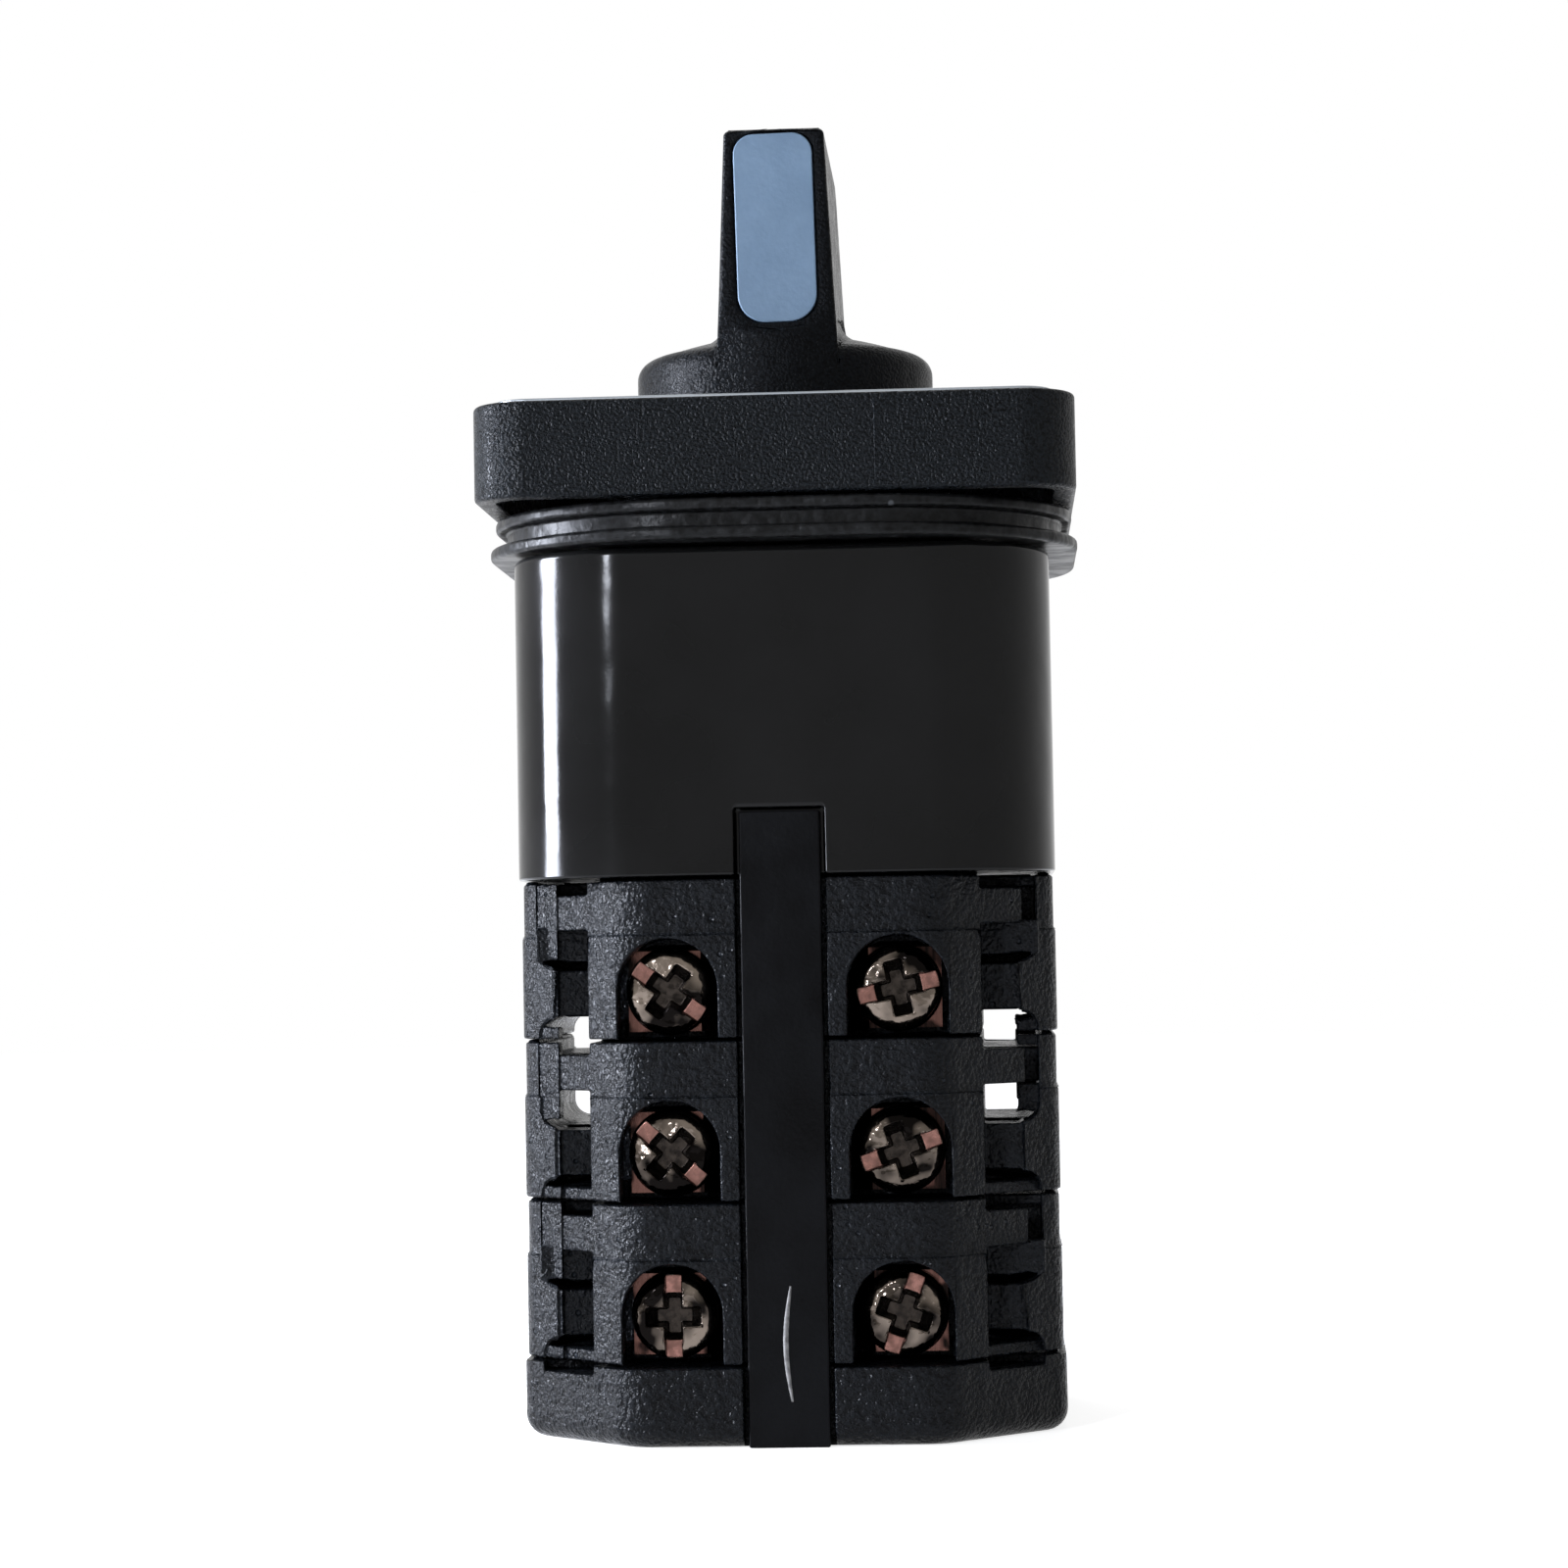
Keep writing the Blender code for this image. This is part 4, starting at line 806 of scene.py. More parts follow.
# Copper alloy, pressed: a warm satin with darker patches where it has tarnished.
BRIDGE_COPPER = Finish(
    "copper_alloy_pressed",
    "#a86a45",
    "#84503a",
    0.33,
    metallic=1.0,
    layers=(Layer(1.2, tone=0.6, gloss=0.15), Layer(0.3, height=0.003)),
)
# Acetal, moulded: waxy sheen with soft clouds.
WHEEL_ACETAL = Finish(
    "acetal_natural_moulded",
    "#d8d4c8",
    "#c6c1b3",
    0.38,
    layers=(Layer(4.0, tone=0.6, gloss=0.1), Layer(0.5, height=0.003)),
)
# The same acetal, coloured red.
FOLLOWER_ACETAL = Finish(
    "acetal_red_moulded",
    "#b9482f",
    "#9c3a26",
    0.38,
    layers=(Layer(4.0, tone=0.6, gloss=0.1), Layer(0.5, height=0.003)),
)
# The same acetal, coloured blue.
SLIDER_ACETAL = Finish(
    "acetal_blue_moulded",
    "#3d5a86",
    "#33507a",
    0.38,
    layers=(Layer(4.0, tone=0.6, gloss=0.1), Layer(0.5, height=0.003)),
)


# Pieces


def finished(
    shape: bpy.types.Object,
    finish: Finish,
    body: str,
    node: str,
) -> bpy.types.Object:
    """Turn a drawn solid into a piece of the switch that stands for a node.

    Args:
        shape: The solid, in millimetres.
        finish: Its finish.
        body: The body that it moves with.
        node: The node that it stands for.

    Returns:
        The piece, in metres.
    """
    mesh = shape.data
    mesh.transform(Matrix.Scale(METRE, 4))
    if not mesh.materials:
        mesh.materials.append(finish.material())
    shape.name = f"dressed_{node}"
    mesh.name = shape.name
    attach(shape, body)
    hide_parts(node)
    log.info("%s stands for %s on %s", shape.name, node, body)
    return shape


def copied(shape: bpy.types.Object, placing: Matrix) -> bpy.types.Object:
    """Copy a solid to another place.

    Args:
        shape: The solid.
        placing: Where the copy goes.

    Returns:
        The copy.
    """
    mesh = shape.data.copy()
    mesh.transform(placing)
    return linked(shape.name, mesh)


def dress(node: str, finish: Finish) -> None:
    """Give a node of the model its finish.

    Args:
        node: The node's name.
        finish: Its finish.
    """
    item = frame["nodes"][node]
    if not item.material_slots:
        item.data.materials.append(finish.material())
    for place in item.material_slots:
        place.material = finish.material()
    log.info("%s dressed with %s", node, finish.name)


@dataclass
class ContactStack:
    """The three contact decks on their back cover, with the straps and the tie bolts."""

    half: float = 21.7
    chamfer: float = 9.3
    front_radius: float = 4.5
    side_radius: float = 2.5
    clearance: float = 0.3
    cover_height: float = 6.2
    cover_lip: float = 0.2
    cover_edge: float = 1.8
    cover_floor: float = 2.0
    cover_notch: float = 0.7
    pitch: float = 12.8
    first_floor: float = 6.5
    roof: float = 1.5
    screw_x: float = 9.1
    screw_z: float = 3.7
    pad_y: float = 17.0
    pad_half: float = 3.4
    strip: float = 0.9
    strip_height: float = 6.4
    contact_x: float = 9.0
    tip_y: float = 5.5
    pocket_radius: float = 4.0
    pocket_rise: float = 0.2
    shank_radius: float = 1.9
    shank_end: float = 13.05
    channel_inner: float = 15.65
    channel_outer: float = 20.1
    low_shelf: tuple[float, float] = (1.7, 5.6)
    web: tuple[float, float] = (8.7, 11.5)
    web_thickness: float = 1.2
    web_slot: float = 1.1
    tab: float = 1.3
    shelf_setback: float = 3.6
    wire_slot: float = 2.4
    window_radius: float = 1.4
    stop_y: float = 13.0
    baffle: tuple[float, float] = (12.0, 18.4)
    channel_wide: float = 20.35
    plate: tuple[float, float] = (6.2, 14.7)
    claw_end: float = 8.0
    step_drop: float = 4.3
    step_depth: float = 0.14
    ledge: tuple[float, float] = (0.9, 0.5)
    seam_lip: tuple[float, float, float] = (20.4, 21.2, 12.4)
    rib: tuple[float, float, float] = (10.2, 1.0, 0.6)
    chamber_radius: float = 8.0
    shaft_radius: float = 3.84
    bolt_y: float = 14.0
    bolt_radius: float = 1.8
    bolt_well: tuple[float, float] = (3.1, 2.6)
    guide_half: float = 3.1
    guide_end: float = 14.65
    bridge_in: float = 8.55
    bridge_out: float = 13.25
    bridge_y: float = 8.3
    strap_half: float = 3.2
    strap_gap: float = 0.4
    strap_thickness: float = 1.2
    strap_top: float = 49.9
    edge: float = 0.18
    # For decks 1 to 3, whether the low, the middle and the top side channel let daylight through.
    through: tuple[tuple[bool, bool, bool], ...] = ((True, False, False), (False, True, True), (False, False, False))

    def plan(self, half: float) -> Outline:
        """Draw the stack from above: a square with cut corners, all eight edges rounded.

        Args:
            half: Half of its width.

        Returns:
            The points of the outline.
        """
        flat = half - self.chamfer
        corners: list[Corner] = []
        for x, y in ((1, -1), (1, 1), (-1, 1), (-1, -1)):
            front = (flat * x, half * y, self.front_radius)
            side = (half * x, flat * y, self.side_radius)
            corners += [front, side] if x * y < 0 else [side, front]
        return rounded(corners, math.radians(4.5))

    def ribs(self, top: float, grow: float = 0.0) -> list[bpy.types.Object]:
        """Make the two ribs that key a piece into the one above, or with grow the tools for their grooves.

        Args:
            top: The height of the piece's top.
            grow: How much the grooves are larger.

        Returns:
            The ribs.
        """
        start, width, rise = self.rib
        half = self.channel_inner - self.clearance + grow
        return [
            block(
                "rib",
                (-half, side * (start - grow), top - OVERCUT),
                (half, side * (start + width + grow), top + rise),
            )
            for side in SIGNS
        ]

    def seam_lips(self, top: float) -> list[bpy.types.Object]:
        """Make the set-back lips on the outer walls, which keep daylight out of the seams.

        Args:
            top: The height of the piece's top.

        Returns:
            The lips.
        """
        inner, outer, reach = self.seam_lip
        rise = self.clearance - 0.05
        return [
            block("lip", (side * inner, -reach, top - OVERCUT), (side * outer, reach, top + rise)) for side in SIGNS
        ]

    def common_tools(self, low: float, high: float, face: float) -> list[bpy.types.Object]:
        """Make the tools for the bolt holes and the strap grooves.

        Args:
            low: The lower end of the cuts.
            high: The upper end of the cuts.
            face: Half of the piece's width.

        Returns:
            The tools.
        """
        half = self.strap_half + self.strap_gap
        floor = self.half - self.strap_thickness - self.clearance
        tools: list[bpy.types.Object] = []
        for side in SIGNS:
            tools.append(prism("bolt_hole", circle(self.bolt_radius, (0, side * self.bolt_y), 24), low, high))
            tools.append(block("strap_groove", (-half, side * floor, low), (half, side * (face + OVERCUT), high)))
        return tools

    def channel_outlines(self, x_sign: int, outer: float) -> list[Outline]:
        """Draw the low, the middle and the top channel beside the deck's core, out to a given wall.

        Args:
            x_sign: The side of the deck.
            outer: How far out the wall is.

        Returns:
            The three outlines.
        """
        inner, outer = x_sign * self.channel_inner, x_sign * outer
        low, high = self.low_shelf
        return [
            rounded([(inner, -OVERCUT, 0), (outer, -OVERCUT, 0), (outer, low, self.window_radius), (inner, low, 0)]),
            rounded(
                [
                    (inner, high, 0),
                    (outer, high, self.window_radius),
                    (outer, self.web[0], 0),
                    (inner, self.web[0], 0),
                ]
            ),
            rectangle(inner, outer, self.web[1], self.pitch + OVERCUT),
        ]

    def channel_tools(self, x_sign: int, through: Sequence[bool]) -> list[bpy.types.Object]:
        """Make the tools for the three channels beside the deck's core.

        Args:
            x_sign: The side of the deck.
            through: For the low, the middle and the top channel, True where it is open through.

        Returns:
            The tools.
        """
        reach, (baffle_y, baffle_x) = self.half + OVERCUT, self.baffle
        tools = []
        for outline, narrow, wide, is_open in zip(
            self.channel_outlines(x_sign, self.channel_outer),
            self.channel_outlines(x_sign, baffle_x),
            self.channel_outlines(x_sign, self.channel_wide),
            through,
        ):
            spans = [(outline, self.stop_y, reach), (outline, -reach, -self.stop_y)]
            if is_open and x_sign > 0:
                spans += [(narrow, -self.stop_y - WELD, -baffle_y + WELD), (outline, -baffle_y, self.stop_y + WELD)]
            elif is_open:
                spans.append((wide, -self.stop_y - WELD, reach))
            tools += [prism("side_channel", drawn, low, high, Axis.Y) for drawn, low, high in spans]
        return tools

    def posts(self, height: float) -> list[bpy.types.Object]:
        """Make the posts that widen the outer wall at the front left and the back right corner.

        Args:
            height: The deck's height.

        Returns:
            The posts.
        """
        _, inner = self.baffle
        outer = self.channel_outer + 0.2
        slope = 2 * self.half - self.chamfer - 0.25
        start = self.stop_y - 0.5
        outline = [(inner, start), (outer, start), (outer, slope - outer), (inner, slope - inner)]
        return [prism("post", placed(outline, side, side), 0, height) for side in SIGNS]

    def post_tools(self, through: Sequence[bool]) -> list[bpy.types.Object]:
        """Make the tools that open the channels beside the posts again, with their round corners.

        Args:
            through: For each channel, True where it is open through.

        Returns:
            The tools.
        """
        ends = (self.stop_y - OVERCUT, self.half + OVERCUT)
        return [
            prism("post_window", outline, *[side * end for end in ends], Axis.Y)
            for side in SIGNS
            for outline, is_open in zip(self.channel_outlines(side, self.baffle[1]), through)
            if is_open
        ]

    def claw_tools(self, x_sign: int, y_sign: int) -> list[bpy.types.Object]:
        """Make the tools for the two claw-shaped gaps above and below one wire mouth.

        Args:
            x_sign: The side of the deck.
            y_sign: The end of the deck.

        Returns:
            The tools.
        """
        inner, outer = self.channel_inner, self.channel_outer - self.tab
        tools = []
        overlap = 0.15
        for height, rise in ((self.low_shelf[1] - overlap, 1), (self.low_shelf[0] + overlap, -1)):
            claw = [(inner, 0), (outer - 0.3, 0), (outer + 0.95, 0.8), (outer + 0.1, 0.95), (inner, 0.45)]
            outline = [(x_sign * x, height + rise * up) for x, up in claw]
            tools.append(prism("claw", outline, y_sign * self.claw_end, y_sign * (self.half + OVERCUT), Axis.Y))
        return tools

    def plates(self) -> list[bpy.types.Object]:
        """Make the plates that close a stopped deck's middle pockets near their mouths.

        Returns:
            The plates.
        """
        low, front = self.plate
        inner, outer = self.channel_inner - 0.2, self.channel_outer + 0.2
        return [
            block("plate", (x * inner, y * self.stop_y, low), (x * outer, y * front, self.web[0] + 0.2))
            for x in SIGNS
            for y in SIGNS
        ]

    def ledges(self) -> list[bpy.types.Object]:
        """Make the low ledges under the wire mouths at the four corners.

        Returns:
            The ledges.
        """
        height, setback = self.ledge
        inner, outer = self.channel_inner - 0.2, self.channel_outer + 0.2
        slope = 2 * self.half - self.chamfer - setback * math.sqrt(2)
        outline = [(inner, self.stop_y), (outer, self.stop_y), (outer, slope - outer), (inner, slope - inner)]
        return [prism("ledge", placed(outline, x, y), 0, height) for x in SIGNS for y in SIGNS]

    def step_tool(self, height: float) -> bpy.types.Object:
        """Make the tool that sets the upper band of a deck a little back from its lower part.

        Args:
            height: The deck's height.

        Returns:
            The tool.
        """
        low, high = height - self.step_drop, height + OVERCUT
        core = prism("step_core", self.plan(self.half - self.step_depth), low - OVERCUT, high + OVERCUT)
        return joined(prism("step", self.plan(self.half + OVERCUT), low, high), [core])

    def entry_tools(self, x_sign: int, y_sign: int) -> list[bpy.types.Object]:
        """Make the tools that open one cut corner of a deck for its wire.

        Args:
            x_sign: The side of the deck.
            y_sign: The end of the deck.

        Returns:
            The tools.
        """
        reach = self.half + OVERCUT
        inner, outer = self.channel_inner, self.channel_outer
        shelf_y = self.half - self.shelf_setback - (inner - self.half + self.chamfer)
        slope = 2 * self.half - self.chamfer - self.web_thickness * math.sqrt(2)
        back = self.half - self.chamfer - OVERCUT
        column = outer - self.web_slot
        behind_web = [
            (inner, back),
            (outer, back),
            (outer, reach),
            (column, reach),
            (column, slope - column),
            (inner, slope - inner),
        ]
        lap = self.clearance / 2
        low, high = self.low_shelf[0] - lap, self.low_shelf[1] + lap
        wire = rectangle(
            self.screw_x + self.pad_half - self.clearance,
            inner + lap,
            self.pad_y - self.strip,
            self.pad_y + self.wire_slot - 2 * self.strip,
        )
        mouth = rectangle(inner, outer - self.tab, shelf_y, reach)
        return [
            prism("wire_mouth", placed(mouth, x_sign, y_sign), low, high),
            prism("behind_web", placed(behind_web, x_sign, y_sign), self.web[0] - lap, self.web[1] + lap),
            prism("wire_slot", placed(wire, x_sign, y_sign), low, high),
        ]

    def terminal_tools(self, x_sign: int, y_sign: int) -> list[bpy.types.Object]:
        """Make the tools for one terminal: the arched pocket, the strip's slot and the shank's hole.

        Args:
            x_sign: The side of the deck.
            y_sign: The end of the deck.

        Returns:
            The tools.
        """
        centre = x_sign * self.screw_x
        radius = self.pocket_radius
        steps = 32
        turns = [math.pi * step / steps for step in range(steps + 1)]
        middle = self.screw_z + self.pocket_rise
        head = [(centre + radius * math.cos(turn), middle + radius * math.sin(turn)) for turn in turns]
        arch = [(centre + radius, -OVERCUT), *head, (centre - radius, -OVERCUT)]
        floor = y_sign * (self.pad_y + self.strip / 2)
        gap = self.strip / 2 + self.clearance
        inner_x = self.screw_x - self.pad_half
        knee_y = self.tip_y + 2.5 + self.clearance
        slot_top = self.screw_z + self.strip_height / 2 + self.clearance
        outer_x = self.screw_x + self.pad_half + self.clearance
        pad = rectangle(inner_x - gap, outer_x, self.pad_y - gap, self.pad_y + gap)
        leg = [
            (inner_x - gap, self.pad_y),
            (inner_x + gap, self.pad_y),
            (inner_x + gap, knee_y + 2.6),
            (self.contact_x + gap, knee_y),
            (self.contact_x + gap, self.tip_y),
            (self.contact_x - gap, self.tip_y),
            (self.contact_x - gap, knee_y),
            (inner_x - gap, knee_y + 2.6),
        ]
        hole = circle(self.shank_radius, (centre, self.screw_z), 24)
        return [
            prism("screw_pocket", arch, floor, y_sign * (self.half + OVERCUT), Axis.Y),
            prism("pad_slot", placed(pad, x_sign, y_sign), -OVERCUT, slot_top),
            prism("leg_slot", placed(leg, x_sign, y_sign), -OVERCUT, slot_top),
            prism("shank_hole", hole, y_sign * self.shank_end, floor, Axis.Y),
        ]

    def deck(self, through: Sequence[bool]) -> bpy.types.Object:
        """Make one contact deck, standing on its own floor.

        Args:
            through: For the low, the middle and the top side channel, True where it is open through.

        Returns:
            The deck.
        """
        height = self.pitch - self.clearance
        ceiling = height - self.roof
        body = joined(prism("deck", self.plan(self.half), 0, height), [self.step_tool(height)])
        body = joined(body, [*self.ribs(height), *self.seam_lips(height)], Join.WELD)
        top = height + OVERCUT
        tools = [
            prism("cam_chamber", circle(self.chamber_radius), -OVERCUT, ceiling),
            prism("shaft_hole", circle(self.shaft_radius, sides=40), 0, top),
            *self.common_tools(-OVERCUT, top, self.half),
            *self.ribs(0, self.clearance),
        ]
        bridge_top = self.screw_z + self.strip_height / 2 + self.clearance
        for side in SIGNS:
            guide = ((side * 6.0, -self.guide_half, -OVERCUT), (side * self.guide_end, self.guide_half, ceiling))
            tools.append(block("follower_guide", *guide))
            low = (side * self.bridge_in, -self.bridge_y, -OVERCUT)
            tools.append(block("bridge_chamber", low, (side * self.bridge_out, self.bridge_y, bridge_top)))
            tools += self.channel_tools(side, through)
            for end in SIGNS:
                tools += self.entry_tools(side, end)
                tools += self.terminal_tools(side, end)
        low_open, middle_open, _ = through
        closers = self.posts(height)
        closers += ([] if low_open else self.ledges()) + ([] if middle_open else self.plates())
        body = joined(joined(body, tools), closers, Join.WELD)
        claws = [tool for side in SIGNS for end in SIGNS for tool in self.claw_tools(side, end)]
        return softened(joined(body, [*claws, *self.post_tools(through)]), self.edge)

    def cover(self) -> bpy.types.Object:
        """Make the back cover that the stack stands on.

        Returns:
            The cover.
        """
        half = self.half + self.cover_lip
        body = prism("cover", self.plan(half), 0, self.cover_height)
        bevelled(body, self.cover_edge, 8, level(0))
        body = joined(body, [*self.ribs(self.cover_height), *self.seam_lips(self.cover_height)], Join.WELD)
        above = self.cover_height + OVERCUT
        tools = [prism("shaft_seat", circle(self.shaft_radius, sides=40), self.cover_floor, above)]
        tools += self.common_tools(-OVERCUT, above, half)
        well_radius, well = self.bolt_well
        notch_y = self.half - self.chamfer
        for end in SIGNS:
            tools.append(prism("head_well", circle(well_radius, (0, end * self.bolt_y), 40), -OVERCUT, well))
            for side in SIGNS:
                low = (side * self.channel_inner, end * notch_y, self.cover_height - self.cover_notch)
                tools.append(block("cover_notch", low, (side * self.channel_outer, end * (half + OVERCUT), above)))
        return softened(joined(body, tools), self.edge)

    def strap(self) -> bpy.types.Object:
        """Make the strap of the +Y side."""
        low = (-self.strap_half, self.half - self.strap_thickness, 0)
        return softened(block("strap", low, (self.strap_half, self.half, self.strap_top)), self.edge)

    def build(self) -> None:
        """Build the pieces and dress them."""
        finished(self.cover(), COVER_POLYAMIDE, "switch_body", "back_cover")
        for number, through in enumerate(self.through, start=1):
            deck = self.deck(through)
            deck.data.transform(Matrix.Translation((0, 0, self.first_floor + (3 - number) * self.pitch)))
            finished(deck, DECK_POLYAMIDE, "switch_body", f"contact_deck_{number}")
        strap = self.strap()
        for name, turn in (("front", math.pi), ("back", 0.0)):
            piece = copied(strap, Matrix.Rotation(turn, 4, "Z"))
            finished(piece, STRAP_POLYAMIDE, "switch_body", f"strap_{name}")
            dress(f"tie_bolt_{name}", BOLT_STEEL)
        bpy.data.objects.remove(strap, do_unlink=True)


@dataclass
class Terminals:
    """The twelve terminals: screw with washer, and the strip behind it."""

    stack: ContactStack
    washer_y: float = 17.75
    washer: float = 0.8
    washer_radius: float = 3.5
    head_radius: float = 3.3
    head_height: float = 0.95
    shoulder: float = 0.95
    dome: float = 0.15
    shank_radius: float = 1.6
    shank_length: float = 4.4
    thread_pitch: float = 0.7
    slot_width: float = 1.3
    slot_depth: float = 0.75
    cross_reach: float = 2.5
    cross_width: float = 1.65
    cross_depth: float = 1.9
    edge: float = 0.09
    # Turn of each driver slot, seen from the side that it faces, in the order of the screws' numbers.
    turns: tuple[float, ...] = (-36, 12, 24, -63, -42, 19, 81, 5, 90, 70, -15, 48)

    def head(self) -> bpy.types.Object:
        """Make a screw with its washer, turned about Z, with its slot along X.

        Returns:
            The screw.
        """
        washer, rim = self.washer, self.washer + self.head_height
        flat = self.head_radius - self.shoulder
        steps = 8
        profile: Outline = []
        for step in range(steps):
            share = step / steps
            profile.append((flat * share, rim + self.shoulder + self.dome * (1 - share**2)))
        for step in range(steps + 1):
            turn = math.pi / 2 * step / steps
            profile.append((flat + self.shoulder * math.sin(turn), rim + self.shoulder * math.cos(turn)))
        profile += [(self.head_radius, washer), (self.washer_radius, washer - (self.washer_radius - self.head_radius))]
        profile.append((self.washer_radius, 0))
        profile.append((self.shank_radius, 0))
        low = -self.shank_length
        turns = int(self.shank_length / self.thread_pitch)
        for index in range(turns):
            crest = -(index + 0.5) * self.thread_pitch
            profile += [(self.shank_radius, crest), (self.shank_radius - 0.3, crest - self.thread_pitch / 2)]
        profile.append((0, low))
        body = turned("terminal_screw", profile, 64)
        top = rim + self.shoulder + self.dome
        reach = self.head_radius + OVERCUT
        half = self.slot_width / 2
        slot = block("slot", (-reach, -half, top - self.dome - self.slot_depth), (reach, half, top + OVERCUT))
        arms = [self.cross_arm(top, turn) for turn in (0, math.pi / 2)]
        return joined(body, [slot, *arms])

    def cross_arm(self, top: float, turn: float) -> bpy.types.Object:
        """Make the tool for one bar of the cross recess, which narrows downwards.

        Args:
            top: The height of the dome's top.
            turn: The turn of the bar about Z.

        Returns:
            The tool.
        """
        rings = []
        for height, length, width in (
            (top - self.cross_depth, self.cross_reach * 0.55, self.cross_width * 0.62),
            (top + OVERCUT, self.cross_reach * 1.12, self.cross_width * 1.1),
        ):
            outline = rounded([(length * x, width / 2 * y, 0.2) for x, y in ((1, -1), (1, 1), (-1, 1), (-1, -1))])
            spin = Matrix.Rotation(turn, 2)
            rings.append([Vector((*(spin @ Vector(point)), height)) for point in outline])
        return lofted("cross", rings)

    def paint_recess(self, mesh: bpy.types.Mesh) -> None:
        """Give the floors of the slot and of the cross their own finishes.

        Args:
            mesh: The screw's mesh, which is changed.
        """
        for finish in (SCREW_NICKEL, SLOT_COPPER_FLASH, RECESS_NICKEL):
            mesh.materials.append(finish.material())
        rim = self.washer + self.head_height + self.shoulder
        floor = rim - self.slot_depth
        cross = self.cross_width * 0.62
        for face in mesh.polygons:
            x, y, z = face.center
            outside = math.hypot(x, y) > self.head_radius - 0.03
            if z < self.washer + 0.1 or outside or z > rim - 0.12:
                continue
            if abs(z - floor) < 0.05 and face.normal.z > 0.7 and abs(y) < self.slot_width / 2:
                face.material_index = 1
            # The cross gets the darker nickel: painted shade in the recess.
            elif max(abs(x), abs(y)) < self.cross_reach and min(abs(x), abs(y)) < cross:
                face.material_index = 2

    def build(self) -> None:
        """Build the screws and the strips and dress them."""
        screw = softened(self.head(), self.edge)
        self.paint_recess(screw.data)
        number = 0
        for deck in (3, 2, 1):
            height = self.stack.first_floor + (deck - 1) * self.stack.pitch + self.stack.screw_z
            for y_sign in SIGNS:
                for x_sign in SIGNS:
                    turn = math.radians(self.turns[number]) * -y_sign
                    number += 1
                    place = Matrix.Translation((x_sign * self.stack.screw_x, y_sign * self.washer_y, height))
                    face = Matrix.Rotation(-y_sign * math.pi / 2, 4, "X")
                    spin = Matrix.Rotation(turn, 4, "Z")
                    name = f"terminal_screw_{number:02d}"
                    piece = copied(screw, place @ face @ spin)
                    finished(piece, SCREW_NICKEL, "switch_body", name)
                    dress(f"terminal_strip_{number:02d}", STRIP_BRASS_IN_PAINTED_SHADOW)
        bpy.data.objects.remove(screw, do_unlink=True)


